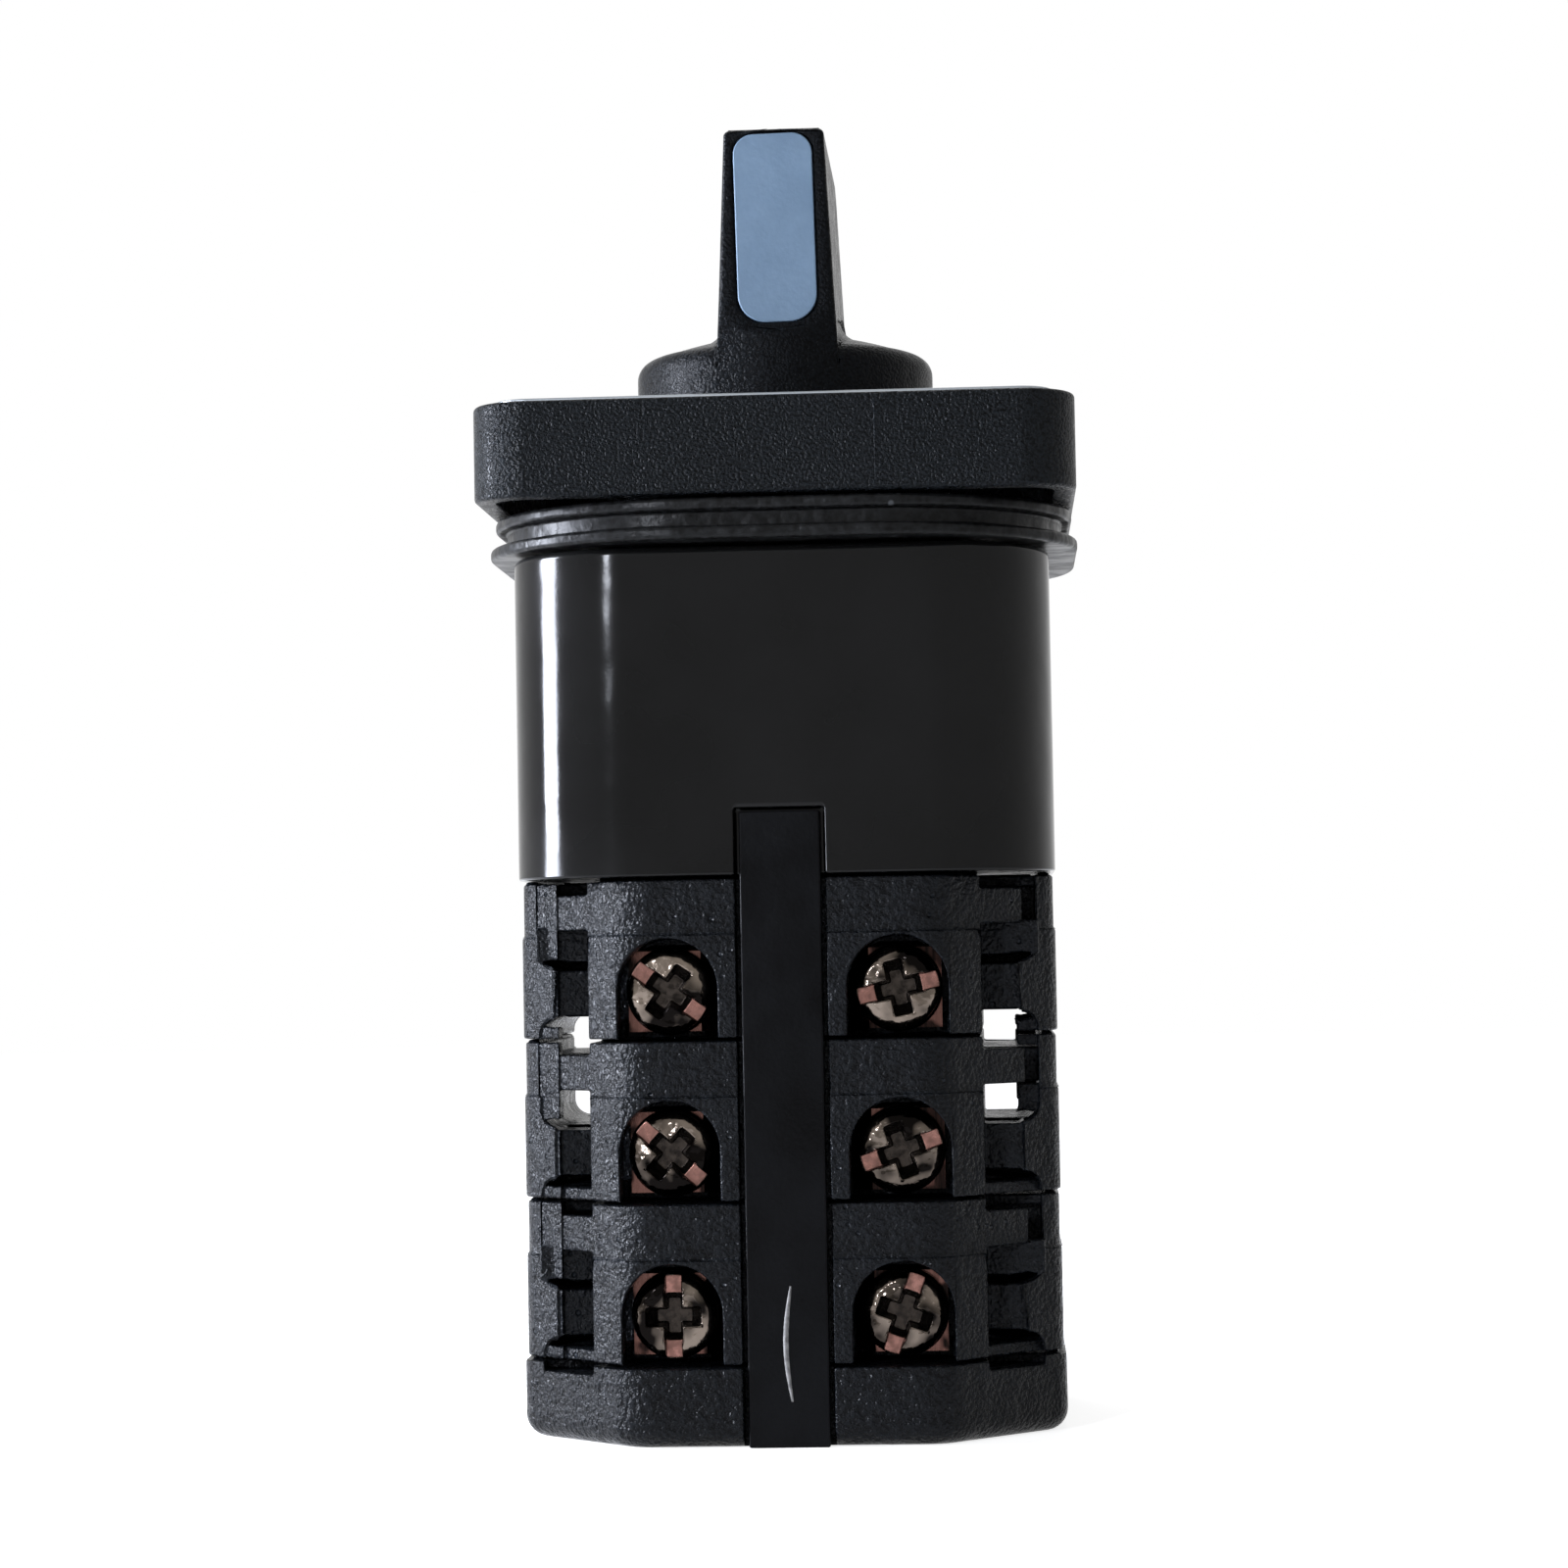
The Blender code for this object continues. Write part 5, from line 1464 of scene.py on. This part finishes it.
@dataclass
class PanelFront:
    """The mechanism housing, the gasket, the bezel and its legend plate."""

    stack: ContactStack
    housing_half: float = 21.8
    housing_corner: float = 10.0
    housing_low: float = 44.9
    housing_top: float = 71.0
    housing_edge: float = 0.6
    boss_half: float = 15.0
    boss_corner: float = 8.0
    boss_top: float = 75.6
    wheel_top: float = 52.1
    wheel_radius: float = 8.8
    bearing_radius: float = 4.7
    slider_half: float = 3.1
    slider_end: float = 19.8
    bolt_top: float = 53.2
    strap_top: float = 50.2
    gasket_half: float = 24.25
    gasket_corner: float = 17.0
    gasket_low: float = 71.3
    gasket_height: float = 3.3
    gasket_lip: float = 1.0
    gasket_lip_radius: float = 0.35
    gasket_step: float = 0.45
    gasket_groove: float = 1.4
    bezel_half: float = 24.0
    bezel_corner: float = 4.5
    bezel_low: float = 74.9
    bezel_top: float = 82.6
    bezel_wall: float = 1.8
    bezel_ceiling: float = 80.4
    bezel_edge: float = 0.35
    hub_half: float = 14.0
    hub_low: float = 75.9
    knob_hole: float = 7.5
    legend_half: float = 22.25
    legend_low: float = 82.3
    legend_top: float = 83.0

    def housing(self) -> bpy.types.Object:
        """Make the moulded block over the detent, with the boss that enters the bezel.

        Returns:
            The housing.
        """
        plan = rounded_square(self.housing_half, self.housing_corner, BROAD_TURN)
        body = prism("housing", plan, self.housing_low, self.housing_top)
        bevelled(body, self.housing_edge, 5, level(self.housing_top))
        boss = prism("boss", rounded_square(self.boss_half, self.boss_corner), self.wheel_top, self.boss_top)
        body = joined(body, [boss], Join.WELD)
        below = self.housing_low - OVERCUT
        ceiling = self.wheel_top + self.stack.clearance
        tools = [
            prism("wheel_chamber", circle(self.wheel_radius), below, ceiling),
            prism("bearing", circle(self.bearing_radius, sides=40), self.wheel_top, self.boss_top + OVERCUT),
            *self.stack.ribs(self.housing_low, self.stack.clearance),
        ]
        strap = self.stack.strap_half + self.stack.strap_gap
        floor = self.stack.half - self.stack.strap_thickness - self.stack.clearance
        for side in SIGNS:
            hole = circle(self.stack.bolt_radius, (0, side * self.stack.bolt_y), 24)
            tools.append(prism("bolt_hole", hole, below, self.bolt_top))
            outer = (strap, side * (self.housing_half + OVERCUT), self.strap_top)
            tools.append(block("strap_groove", (-strap, side * floor, below), outer))
            guide = (side * self.slider_end, self.slider_half, ceiling)
            tools.append(block("slider_guide", (side * 2.0, -self.slider_half, below), guide))
        return softened(joined(body, tools), 0.2, 3)

    def gasket(self) -> bpy.types.Object:
        """Make the rubber seal: a ring with a lower and an upper lip.

        Returns:
            The gasket.
        """
        inner = self.boss_half + self.stack.clearance
        middle = (self.gasket_half + inner) / 2
        reach = self.gasket_half - middle
        groove, upper = reach - self.gasket_groove, reach - self.gasket_step
        top, foot = self.gasket_height, self.gasket_height - self.gasket_lip
        radius = self.gasket_lip_radius
        profile = rounded(
            [
                (-reach, 0, 0),
                (reach, 0, radius),
                (reach, self.gasket_lip, radius),
                (groove, self.gasket_lip, 0.25),
                (groove, foot, 0.25),
                (upper, foot, radius),
                (upper, top, radius),
                (-reach, top, 0),
            ],
            COARSE_TURN,
        )
        corner = self.gasket_corner - reach
        rings = []
        for out, up in profile:
            outline = rounded_square(middle + out, corner + out, BROAD_TURN)
            rings.append([Vector((x, y, self.gasket_low + up)) for x, y in outline])
        return softened(lofted("gasket", rings, closed=True), 0.1)

    def bezel(self) -> bpy.types.Object:
        """Make the square front frame: a hollow skirt round a hub.

        Returns:
            The bezel.
        """
        outline = rounded_square(self.bezel_half, self.bezel_corner, BROAD_TURN)
        body = prism("bezel", outline, self.bezel_low, self.bezel_top)
        bevelled(body, self.bezel_edge, 4, level(self.bezel_top))
        bevelled(body, self.bezel_edge, 3, level(self.bezel_low))
        below = self.bezel_low - OVERCUT
        wall = self.bezel_wall
        inside = rounded_square(self.bezel_half - wall, self.bezel_corner - wall)
        hub = rounded_square(self.hub_half, self.boss_corner - (self.boss_half - self.hub_half))
        hollow = joined(
            prism("skirt_hollow", inside, below, self.bezel_ceiling),
            [prism("hub", hub, below - OVERCUT, self.bezel_ceiling + OVERCUT)],
        )
        fit = 0.15
        rim = self.bezel_half - self.legend_half - fit
        recess = rounded_square(self.bezel_half - rim, self.bezel_corner - rim)
        floor = self.legend_low - self.stack.clearance
        tools = [
            hollow,
            prism("hub_foot", rounded_square(self.boss_half, self.boss_corner), below, self.hub_low),
            prism("legend_recess", recess, floor, self.bezel_top + OVERCUT),
            prism("knob_hole", circle(self.knob_hole, sides=80), below, self.bezel_top),
        ]
        return softened(joined(body, tools), 0.15)

    def legend(self) -> bpy.types.Object:
        """Make the thin plate let into the bezel's face.

        Returns:
            The plate.
        """
        rim = self.bezel_half - self.legend_half
        plan = rounded_square(self.legend_half, self.bezel_corner - rim)
        plate = prism("legend", plan, self.legend_low, self.legend_top)
        hole = prism("hole", circle(self.knob_hole, sides=80), self.legend_low - OVERCUT, self.legend_top + OVERCUT)
        return softened(joined(plate, [hole]), 0.12)

    def build(self) -> None:
        """Build the pieces and dress them."""
        body = "switch_body"
        finished(self.housing(), HOUSING_POLYAMIDE, body, "mechanism_housing")
        finished(self.gasket(), SEAL_RUBBER, body, "panel_gasket")
        finished(self.bezel(), FRONT_POLYCARBONATE, body, "front_bezel")
        finished(self.legend(), LEGEND_ALUMINIUM, body, "legend_plate")


@dataclass
class TurningDrive:
    """The bar knob with its insert and screw, on the shaft with the detent wheel and the cams."""

    radius: float = 12.5
    low: float = 83.3
    skirt: float = 4.0
    shoulder: float = 1.5
    rise: float = 2.0
    hub_radius: float = 7.2
    hub_low: float = 75.9
    top: float = 106.4
    top_half: float = 4.1
    foot_half: float = 5.0
    end: float = 11.7
    toe: float = 2.4
    flare: float = 1.5
    front_edge: float = 0.6
    back_edge: float = 2.0
    socket_half: float = 2.8
    shaft_top: float = 96.9
    seat: float = 99.7
    shank_radius: float = 1.7
    well_radius: float = 2.8
    insert_width: float = 6.5
    insert_length: float = 15.6
    insert_z: float = 98.15
    insert_corners: tuple[float, float] = (1.7, 2.3)
    insert_depth: float = 1.0
    insert_proud: float = 0.05
    insert_fit: float = 0.04
    insert_lean: float = math.radians(-1.0)
    screw_seat: float = 100.0
    screw_radius: float = 2.5
    screw_height: float = 2.0
    screw_shank: float = 1.4
    screw_length: float = 10.0

    @property
    def skirt_top(self) -> float:
        """Height where the disc's shoulder starts."""
        return self.low + self.skirt

    @property
    def cap_foot(self) -> float:
        """Height of the foot of the disc's cap."""
        return self.skirt_top + self.shoulder

    def half(self, height: float) -> float:
        """Give half of the handle's width at a height on its tapered sides."""
        taper = (self.foot_half - self.top_half) / (self.top - self.skirt_top)
        return self.top_half + taper * (self.top - height)

    def cap(self, radius: float, rise: float, steps: int = 20) -> Outline:
        """Draw the upper half of an (r, z) profile: a shallow cap over its foot."""
        shares = [step / steps for step in range(steps + 1)]
        return [(radius * share, self.cap_foot + rise * (1 - share**2)) for share in shares]

    def disc(self) -> bpy.types.Object:
        """Make the disc with its rounded shoulder and its hub.

        Returns:
            The disc.
        """
        inner = self.radius - self.shoulder
        profile = self.cap(inner, self.rise)
        steps = 10
        for step in range(1, steps + 1):
            turn = math.pi / 2 * step / steps
            radius = inner + self.shoulder * math.sin(turn)
            profile.append((radius, self.skirt_top + self.shoulder * math.cos(turn)))
        profile += [
            (self.radius, self.low),
            (self.hub_radius, self.low),
            (self.hub_radius, self.hub_low),
            (0, self.hub_low),
        ]
        return turned("knob", profile, 128)

    def handle(self) -> bpy.types.Object:
        """Make the tapered bar, whose ends spread to the disc's rim at their feet.

        Returns:
            The handle.
        """
        foot = self.low + self.skirt / 2
        half = self.half(foot)
        front = rounded(
            [
                (half, foot, 0),
                (self.top_half, self.top, self.front_edge),
                (-self.top_half, self.top, self.front_edge),
                (-half, foot, 0),
            ]
        )
        reach = self.end + self.toe + OVERCUT
        side = rounded(
            [
                (-reach, foot, 0),
                (-reach, self.cap_foot, 0),
                (-self.end, self.cap_foot, self.toe),
                (-self.end, self.top, self.front_edge),
                (self.end, self.top, self.back_edge),
                (self.end, self.cap_foot, self.toe),
                (reach, self.cap_foot, 0),
                (reach, foot, 0),
            ],
            COARSE_TURN,
        )
        rim = self.radius - self.insert_proud
        over = self.top + OVERCUT
        drum = turned("drum", [(0, over), (rim, over), (rim, foot), (0, foot)], 128)
        handle = prism("handle", side, -self.radius, self.radius, Axis.X)
        handle = joined(handle, [prism("handle_front", front, -reach, reach, Axis.Y)], Join.KEEP)
        return joined(handle, [drum], Join.KEEP)

    def disc_height(self, x: float, y: float) -> float:
        """Give the height of the disc's face at a place on it.

        Args:
            x: The place along X.
            y: The place along Y.

        Returns:
            The height.
        """
        inner = self.radius - self.shoulder
        radius = math.hypot(x, y)
        if radius <= inner:
            return self.cap_foot + self.rise * (1 - (radius / inner) ** 2)
        drop = min(radius - inner, self.shoulder)
        return self.skirt_top + math.sqrt(self.shoulder**2 - drop**2)

    def root(self) -> bpy.types.Object:
        """Make the fillet between the handle's sides and the disc, which fades out towards the rim.

        Returns:
            The fillet.
        """
        inside = self.half(self.cap_foot) - 0.6
        foot = self.low + self.skirt / 2
        reach = math.sqrt((self.radius - 0.4) ** 2 - (inside + self.flare) ** 2)
        steps, arc = 32, 8
        rings = []
        for step in range(steps + 1):
            y = reach * (2 * step / steps - 1)
            flare = 0.05 + self.flare * (1 - (y / reach) ** 4)
            right: Outline = [(inside, foot)]
            for part in range(arc + 1):
                turn = math.pi / 2 * part / arc
                x = self.half(self.cap_foot) - 0.1 + flare * (1 - math.sin(turn))
                right.append((x, self.disc_height(x, y) - 0.05 + flare * (1 - math.cos(turn))))
            right.append((inside, right[-1][1]))
            ring = [*right, *[(-x, z) for x, z in reversed(right)]]
            rings.append([Vector((x, y, z)) for x, z in ring])
        return lofted("root", rings)

    def insert_outline(self, grow: float = 0.0) -> Outline:
        """Draw the insert from the front: upper corners with a smaller radius than the lower ones.

        Args:
            grow: How much larger it is all round.

        Returns:
            The points of the outline.
        """
        half, reach = self.insert_width / 2 + grow, self.insert_length / 2 + grow
        upper, lower = self.insert_corners
        return rounded(
            [
                (half, self.insert_z - reach, lower),
                (half, self.insert_z + reach, upper),
                (-half, self.insert_z + reach, upper),
                (-half, self.insert_z - reach, lower),
            ]
        )

    def knob(self) -> bpy.types.Object:
        """Make the knob, with the pocket for its insert and the well for its screw.

        Returns:
            The knob.
        """
        knob = joined(self.disc(), [self.handle(), self.root()], Join.WELD)
        gap = 0.15
        pocket = self.insert_outline(self.insert_fit)
        floor = -self.end - self.insert_proud + self.insert_depth + 2 * gap
        socket = rounded_square(self.socket_half, 0.3)
        tools = [
            self.leaned(prism("insert_pocket", pocket, -self.radius - OVERCUT, floor, Axis.Y)),
            prism("socket", socket, self.hub_low - OVERCUT, self.shaft_top + 2 * gap),
            prism("screw_hole", circle(self.shank_radius, sides=24), self.shaft_top, self.seat + OVERCUT),
            prism("screw_well", circle(self.well_radius, sides=48), self.seat, self.top + OVERCUT),
        ]
        return softened(joined(knob, tools), 0.3, 3)

    def insert(self) -> bpy.types.Object:
        """Make the insert of the handle's pointing end.

        Returns:
            The insert.
        """
        outline = self.insert_outline()
        front = -self.end - self.insert_proud
        return softened(self.leaned(prism("insert", outline, front, front + self.insert_depth, Axis.Y)), 0.1, 3)

    def leaned(self, item: bpy.types.Object) -> bpy.types.Object:
        """Lean a solid sideways about the insert's middle, as the insert leans in its pocket.

        Args:
            item: The solid, which is changed.

        Returns:
            The same solid.
        """
        middle = Vector((0, 0, self.insert_z))
        turn = Matrix.Rotation(self.insert_lean, 4, "Y")
        item.data.transform(Matrix.Translation(middle) @ turn @ Matrix.Translation(-middle))
        return item

    def screw(self) -> bpy.types.Object:
        """Make the cheese-head screw that holds the knob.

        Returns:
            The screw.
        """
        top = self.screw_seat + self.screw_height
        profile = [(0, top), (self.screw_radius, top), (self.screw_radius, self.screw_seat)]
        profile += [(self.screw_shank, self.screw_seat), (self.screw_shank, self.screw_seat - self.screw_length)]
        profile.append((0, self.screw_seat - self.screw_length))
        slot = block("slot", (-4, -0.35, top - 0.9), (4, 0.35, top + OVERCUT))
        return softened(joined(turned("knob_screw", profile, 48), [slot]), 0.12)

    def build(self) -> None:
        """Build the pieces and dress them."""
        finished(self.knob(), KNOB_POLYCARBONATE, "drive", "knob")
        finished(self.insert(), INSERT_POLYCARBONATE, "drive", "pointer_insert")
        finished(self.screw(), BOLT_STEEL, "drive", "knob_screw")
        dress("drive_shaft", SHAFT_STEEL)
        dress("detent_wheel", WHEEL_ACETAL)
        for number in (1, 2, 3):
            dress(f"cam_{number}", WHEEL_ACETAL)


@dataclass
class InnerWorks:
    """The followers, the contact bridges and the sprung detent inside the housing and the decks."""

    sides: tuple[str, ...] = ("left", "right")
    decks: tuple[int, ...] = (1, 2, 3)

    def build(self) -> None:
        """Dress the pieces."""
        for side in self.sides:
            for deck in self.decks:
                dress(f"cam_follower_{deck}_{side}", FOLLOWER_ACETAL)
                dress(f"contact_bridge_{deck}_{side}", BRIDGE_COPPER)
            dress(f"detent_slider_{side}", SLIDER_ACETAL)
            dress(f"detent_spring_{side}", SPRING_STEEL)


@dataclass(frozen=True)
class Sliver:
    """A thin raised line on a front face: a scrape or the flow line of a moulding.

    Args:
        name: The name of its piece.
        slot: The material slot of the piece under it; not used.
        spine: The (x, z) points along its middle.
        face: How far the face under it lies in front of the middle.
        width: Its greatest width.
        height: How far it stands proud.
        finish: Its finish.
    """

    name: str
    slot: str
    spine: Outline
    face: float
    width: float
    height: float
    finish: Finish

    def build(self) -> None:
        """Build the line, narrower towards its ends, and dress it."""
        rings = []
        last = len(self.spine) - 1
        for index, (x, z) in enumerate(self.spine):
            share = math.sin(math.pi * (0.06 + 0.88 * index / last)) ** 0.6
            half, proud = self.width / 2 * share, self.height * share
            section = [(-half, 0.1), (half, 0.1), (half, -proud * 0.4), (0, -proud), (-half, -proud * 0.4)]
            rings.append([Vector((x + across, -self.face + deep, z)) for across, deep in section])
        piece = lofted(self.name, rings)
        mesh = piece.data
        mesh.transform(Matrix.Scale(METRE, 4))
        mesh.shade_smooth()
        mesh.materials.append(self.finish.material())
        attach(piece, "switch_body")
        log.info("%s lies on switch_body", self.name)


@dataclass
class Marks:
    """The marks of moulding and use: a scrape on the front strap and a flow line on the bezel."""

    stack: ContactStack
    front: PanelFront
    scrape_low: float = 3.6
    scrape_length: float = 9.0
    scrape_bow: float = 0.45
    flow_x: float = 8.2

    def build(self) -> None:
        """Build the marks."""
        steps = 24
        shares = [step / steps for step in range(steps + 1)]
        bow = [
            (self.scrape_bow * (0.6 - math.sin(math.pi * share)), self.scrape_low + self.scrape_length * share)
            for share in shares
        ]
        Sliver("strap_scrape", "strap_polyamide", bow, self.stack.half, 0.42, 0.07, SCRAPED_POLYAMIDE).build()
        low, high = self.front.bezel_low + 0.6, self.front.bezel_top - 0.6
        flow = [(self.flow_x, low + (high - low) * share) for share in shares]
        name, slot = "bezel_flow_line", "bezel_polycarbonate"
        Sliver(name, slot, flow, self.front.bezel_half, 0.12, 0.025, FRONT_POLYCARBONATE).build()


@dataclass(frozen=True)
class Lamp:
    """A soft lamp: its place and aim in millimetres, its size and its power in watts."""

    name: str
    place: tuple[float, float, float]
    aim: tuple[float, float, float]
    size: tuple[float, float]
    power: float
    colour: str = "#ffffff"


@dataclass
class Studio:
    """The camera at the photograph's place, the pale floor, the white surround and the lamps."""

    distance: float = 321.5
    side: float = -0.73
    height: float = 38.0
    yaw: float = -0.055
    pitch: float = -0.0466
    roll: float = -0.0182
    focal_pixels: float = 3886.0
    frame_pixels: float = 1600.0
    sensor: float = 36.0
    ambient: float = 0.22
    floor_glow: float = 0.8
    floor_size: float = 3000.0
    lamps: tuple[Lamp, ...] = field(
        default=(
            Lamp("window_left", (-560, -50, 90), (0, 0, 45), (170, 420), 21.0, "#eaf0ff"),
            Lamp("window_front_left", (-230, -520, 160), (0, 0, 50), (45, 70), 1.1, "#eef3ff"),
            Lamp("top_back", (-60, 240, 420), (0, 0, 60), (300, 220), 0.4),
        )
    )

    def camera(self) -> None:
        """Make the camera at the photograph's angle."""
        data = bpy.data.cameras.new("photo_camera")
        data.sensor_width = self.sensor
        data.lens = self.focal_pixels / self.frame_pixels * self.sensor
        data.clip_start = 0.01
        data.clip_end = 20
        made = bpy.data.objects.new("photo_camera", data)
        bpy.context.scene.collection.objects.link(made)
        tilt = Matrix.Rotation(self.pitch, 3, "X")
        rows = Matrix.Rotation(self.roll, 3, "Y") @ tilt
        back = Matrix.Rotation(-self.yaw, 3, "Z")
        right, forward, up = (back @ rows[index] for index in range(3))
        turn = Matrix((right, up, -forward)).transposed()
        place = back @ Vector((self.side, -self.distance, self.height)) * METRE
        made.matrix_world = Matrix.Translation(place) @ turn.to_4x4()
        bpy.context.scene.camera = made

    def seen(self, tree: bpy.types.NodeTree) -> bpy.types.NodeSocket:
        """Give a socket that is 1 for camera, glossy and transmission rays, and 0 for others.

        Args:
            tree: The node tree.

        Returns:
            The socket.
        """
        path = add_node(tree, "ShaderNodeLightPath")
        rays = [path.outputs[name] for name in ("Is Camera Ray", "Is Glossy Ray", "Is Transmission Ray")]
        first = add_node(tree, "ShaderNodeMath", {0: rays[0], 1: rays[1]}, operation="MAXIMUM")
        return add_node(tree, "ShaderNodeMath", {0: first.outputs[0], 1: rays[2]}, operation="MAXIMUM").outputs[0]

    def surround(self) -> None:
        """Make the world white where it is seen, and a soft grey light elsewhere."""
        world = bpy.data.worlds.new("white_surround")
        world.use_nodes = True
        tree = world.node_tree
        strength = add_node(
            tree,
            "ShaderNodeMapRange",
            {"Value": self.seen(tree), "To Min": self.ambient, "To Max": 1.0},
        )
        tree.nodes["Background"].inputs["Color"].default_value = (1, 1, 1, 1)
        tree.links.new(strength.outputs[0], tree.nodes["Background"].inputs["Strength"])
        bpy.context.scene.world = world

    def floor(self) -> None:
        """Make the pale floor, which looks white and keeps the switch's shadow."""
        shape = bmesh.new()
        bmesh.ops.create_grid(shape, x_segments=8, y_segments=8, size=self.floor_size * METRE / 2)
        floor = solid("studio_floor", shape)
        floor.location.z = -0.02 * METRE
        made = bpy.data.materials.new("studio_floor_white")
        made.use_nodes = True
        tree = made.node_tree
        tree.nodes.clear()
        diffuse = add_node(tree, "ShaderNodeBsdfDiffuse", {"Color": linear("#f2f2f2")})
        glow = add_node(tree, "ShaderNodeEmission", {"Color": (1, 1, 1, 1), "Strength": self.floor_glow})
        both = add_node(tree, "ShaderNodeAddShader", {0: diffuse.outputs[0], 1: glow.outputs[0]})
        mix = add_node(
            tree, "ShaderNodeMixShader", {0: self.seen(tree), 1: diffuse.outputs[0], 2: both.outputs[0]}
        )
        add_node(tree, "ShaderNodeOutputMaterial", {"Surface": mix.outputs[0]})
        floor.data.materials.append(made)

    def light(self, lamp: Lamp) -> None:
        """Hang one soft lamp.

        Args:
            lamp: The lamp.
        """
        data = bpy.data.lights.new(lamp.name, "AREA")
        data.shape = "RECTANGLE"
        data.size, data.size_y = (side * METRE for side in lamp.size)
        data.energy = lamp.power
        data.color = linear(lamp.colour)[:3]
        made = bpy.data.objects.new(lamp.name, data)
        bpy.context.scene.collection.objects.link(made)
        made.location = Vector(lamp.place) * METRE
        aim = Vector(lamp.aim) - Vector(lamp.place)
        made.rotation_euler = aim.to_track_quat("-Z", "Y").to_euler()

    def build(self) -> None:
        """Set up the camera, the floor, the surround and the lamps."""
        self.camera()
        self.surround()
        self.floor()
        for lamp in self.lamps:
            self.light(lamp)
        bpy.context.scene.view_settings.view_transform = "Standard"


def main() -> None:
    """Build the switch and its studio."""
    logging.basicConfig(level=logging.INFO, format="%(message)s")
    stack = ContactStack()
    stack.build()
    Terminals(stack).build()
    front = PanelFront(stack)
    front.build()
    Marks(stack, front).build()
    TurningDrive().build()
    InnerWorks().build()
    Studio().build()


if __name__ == "__main__":
    main()
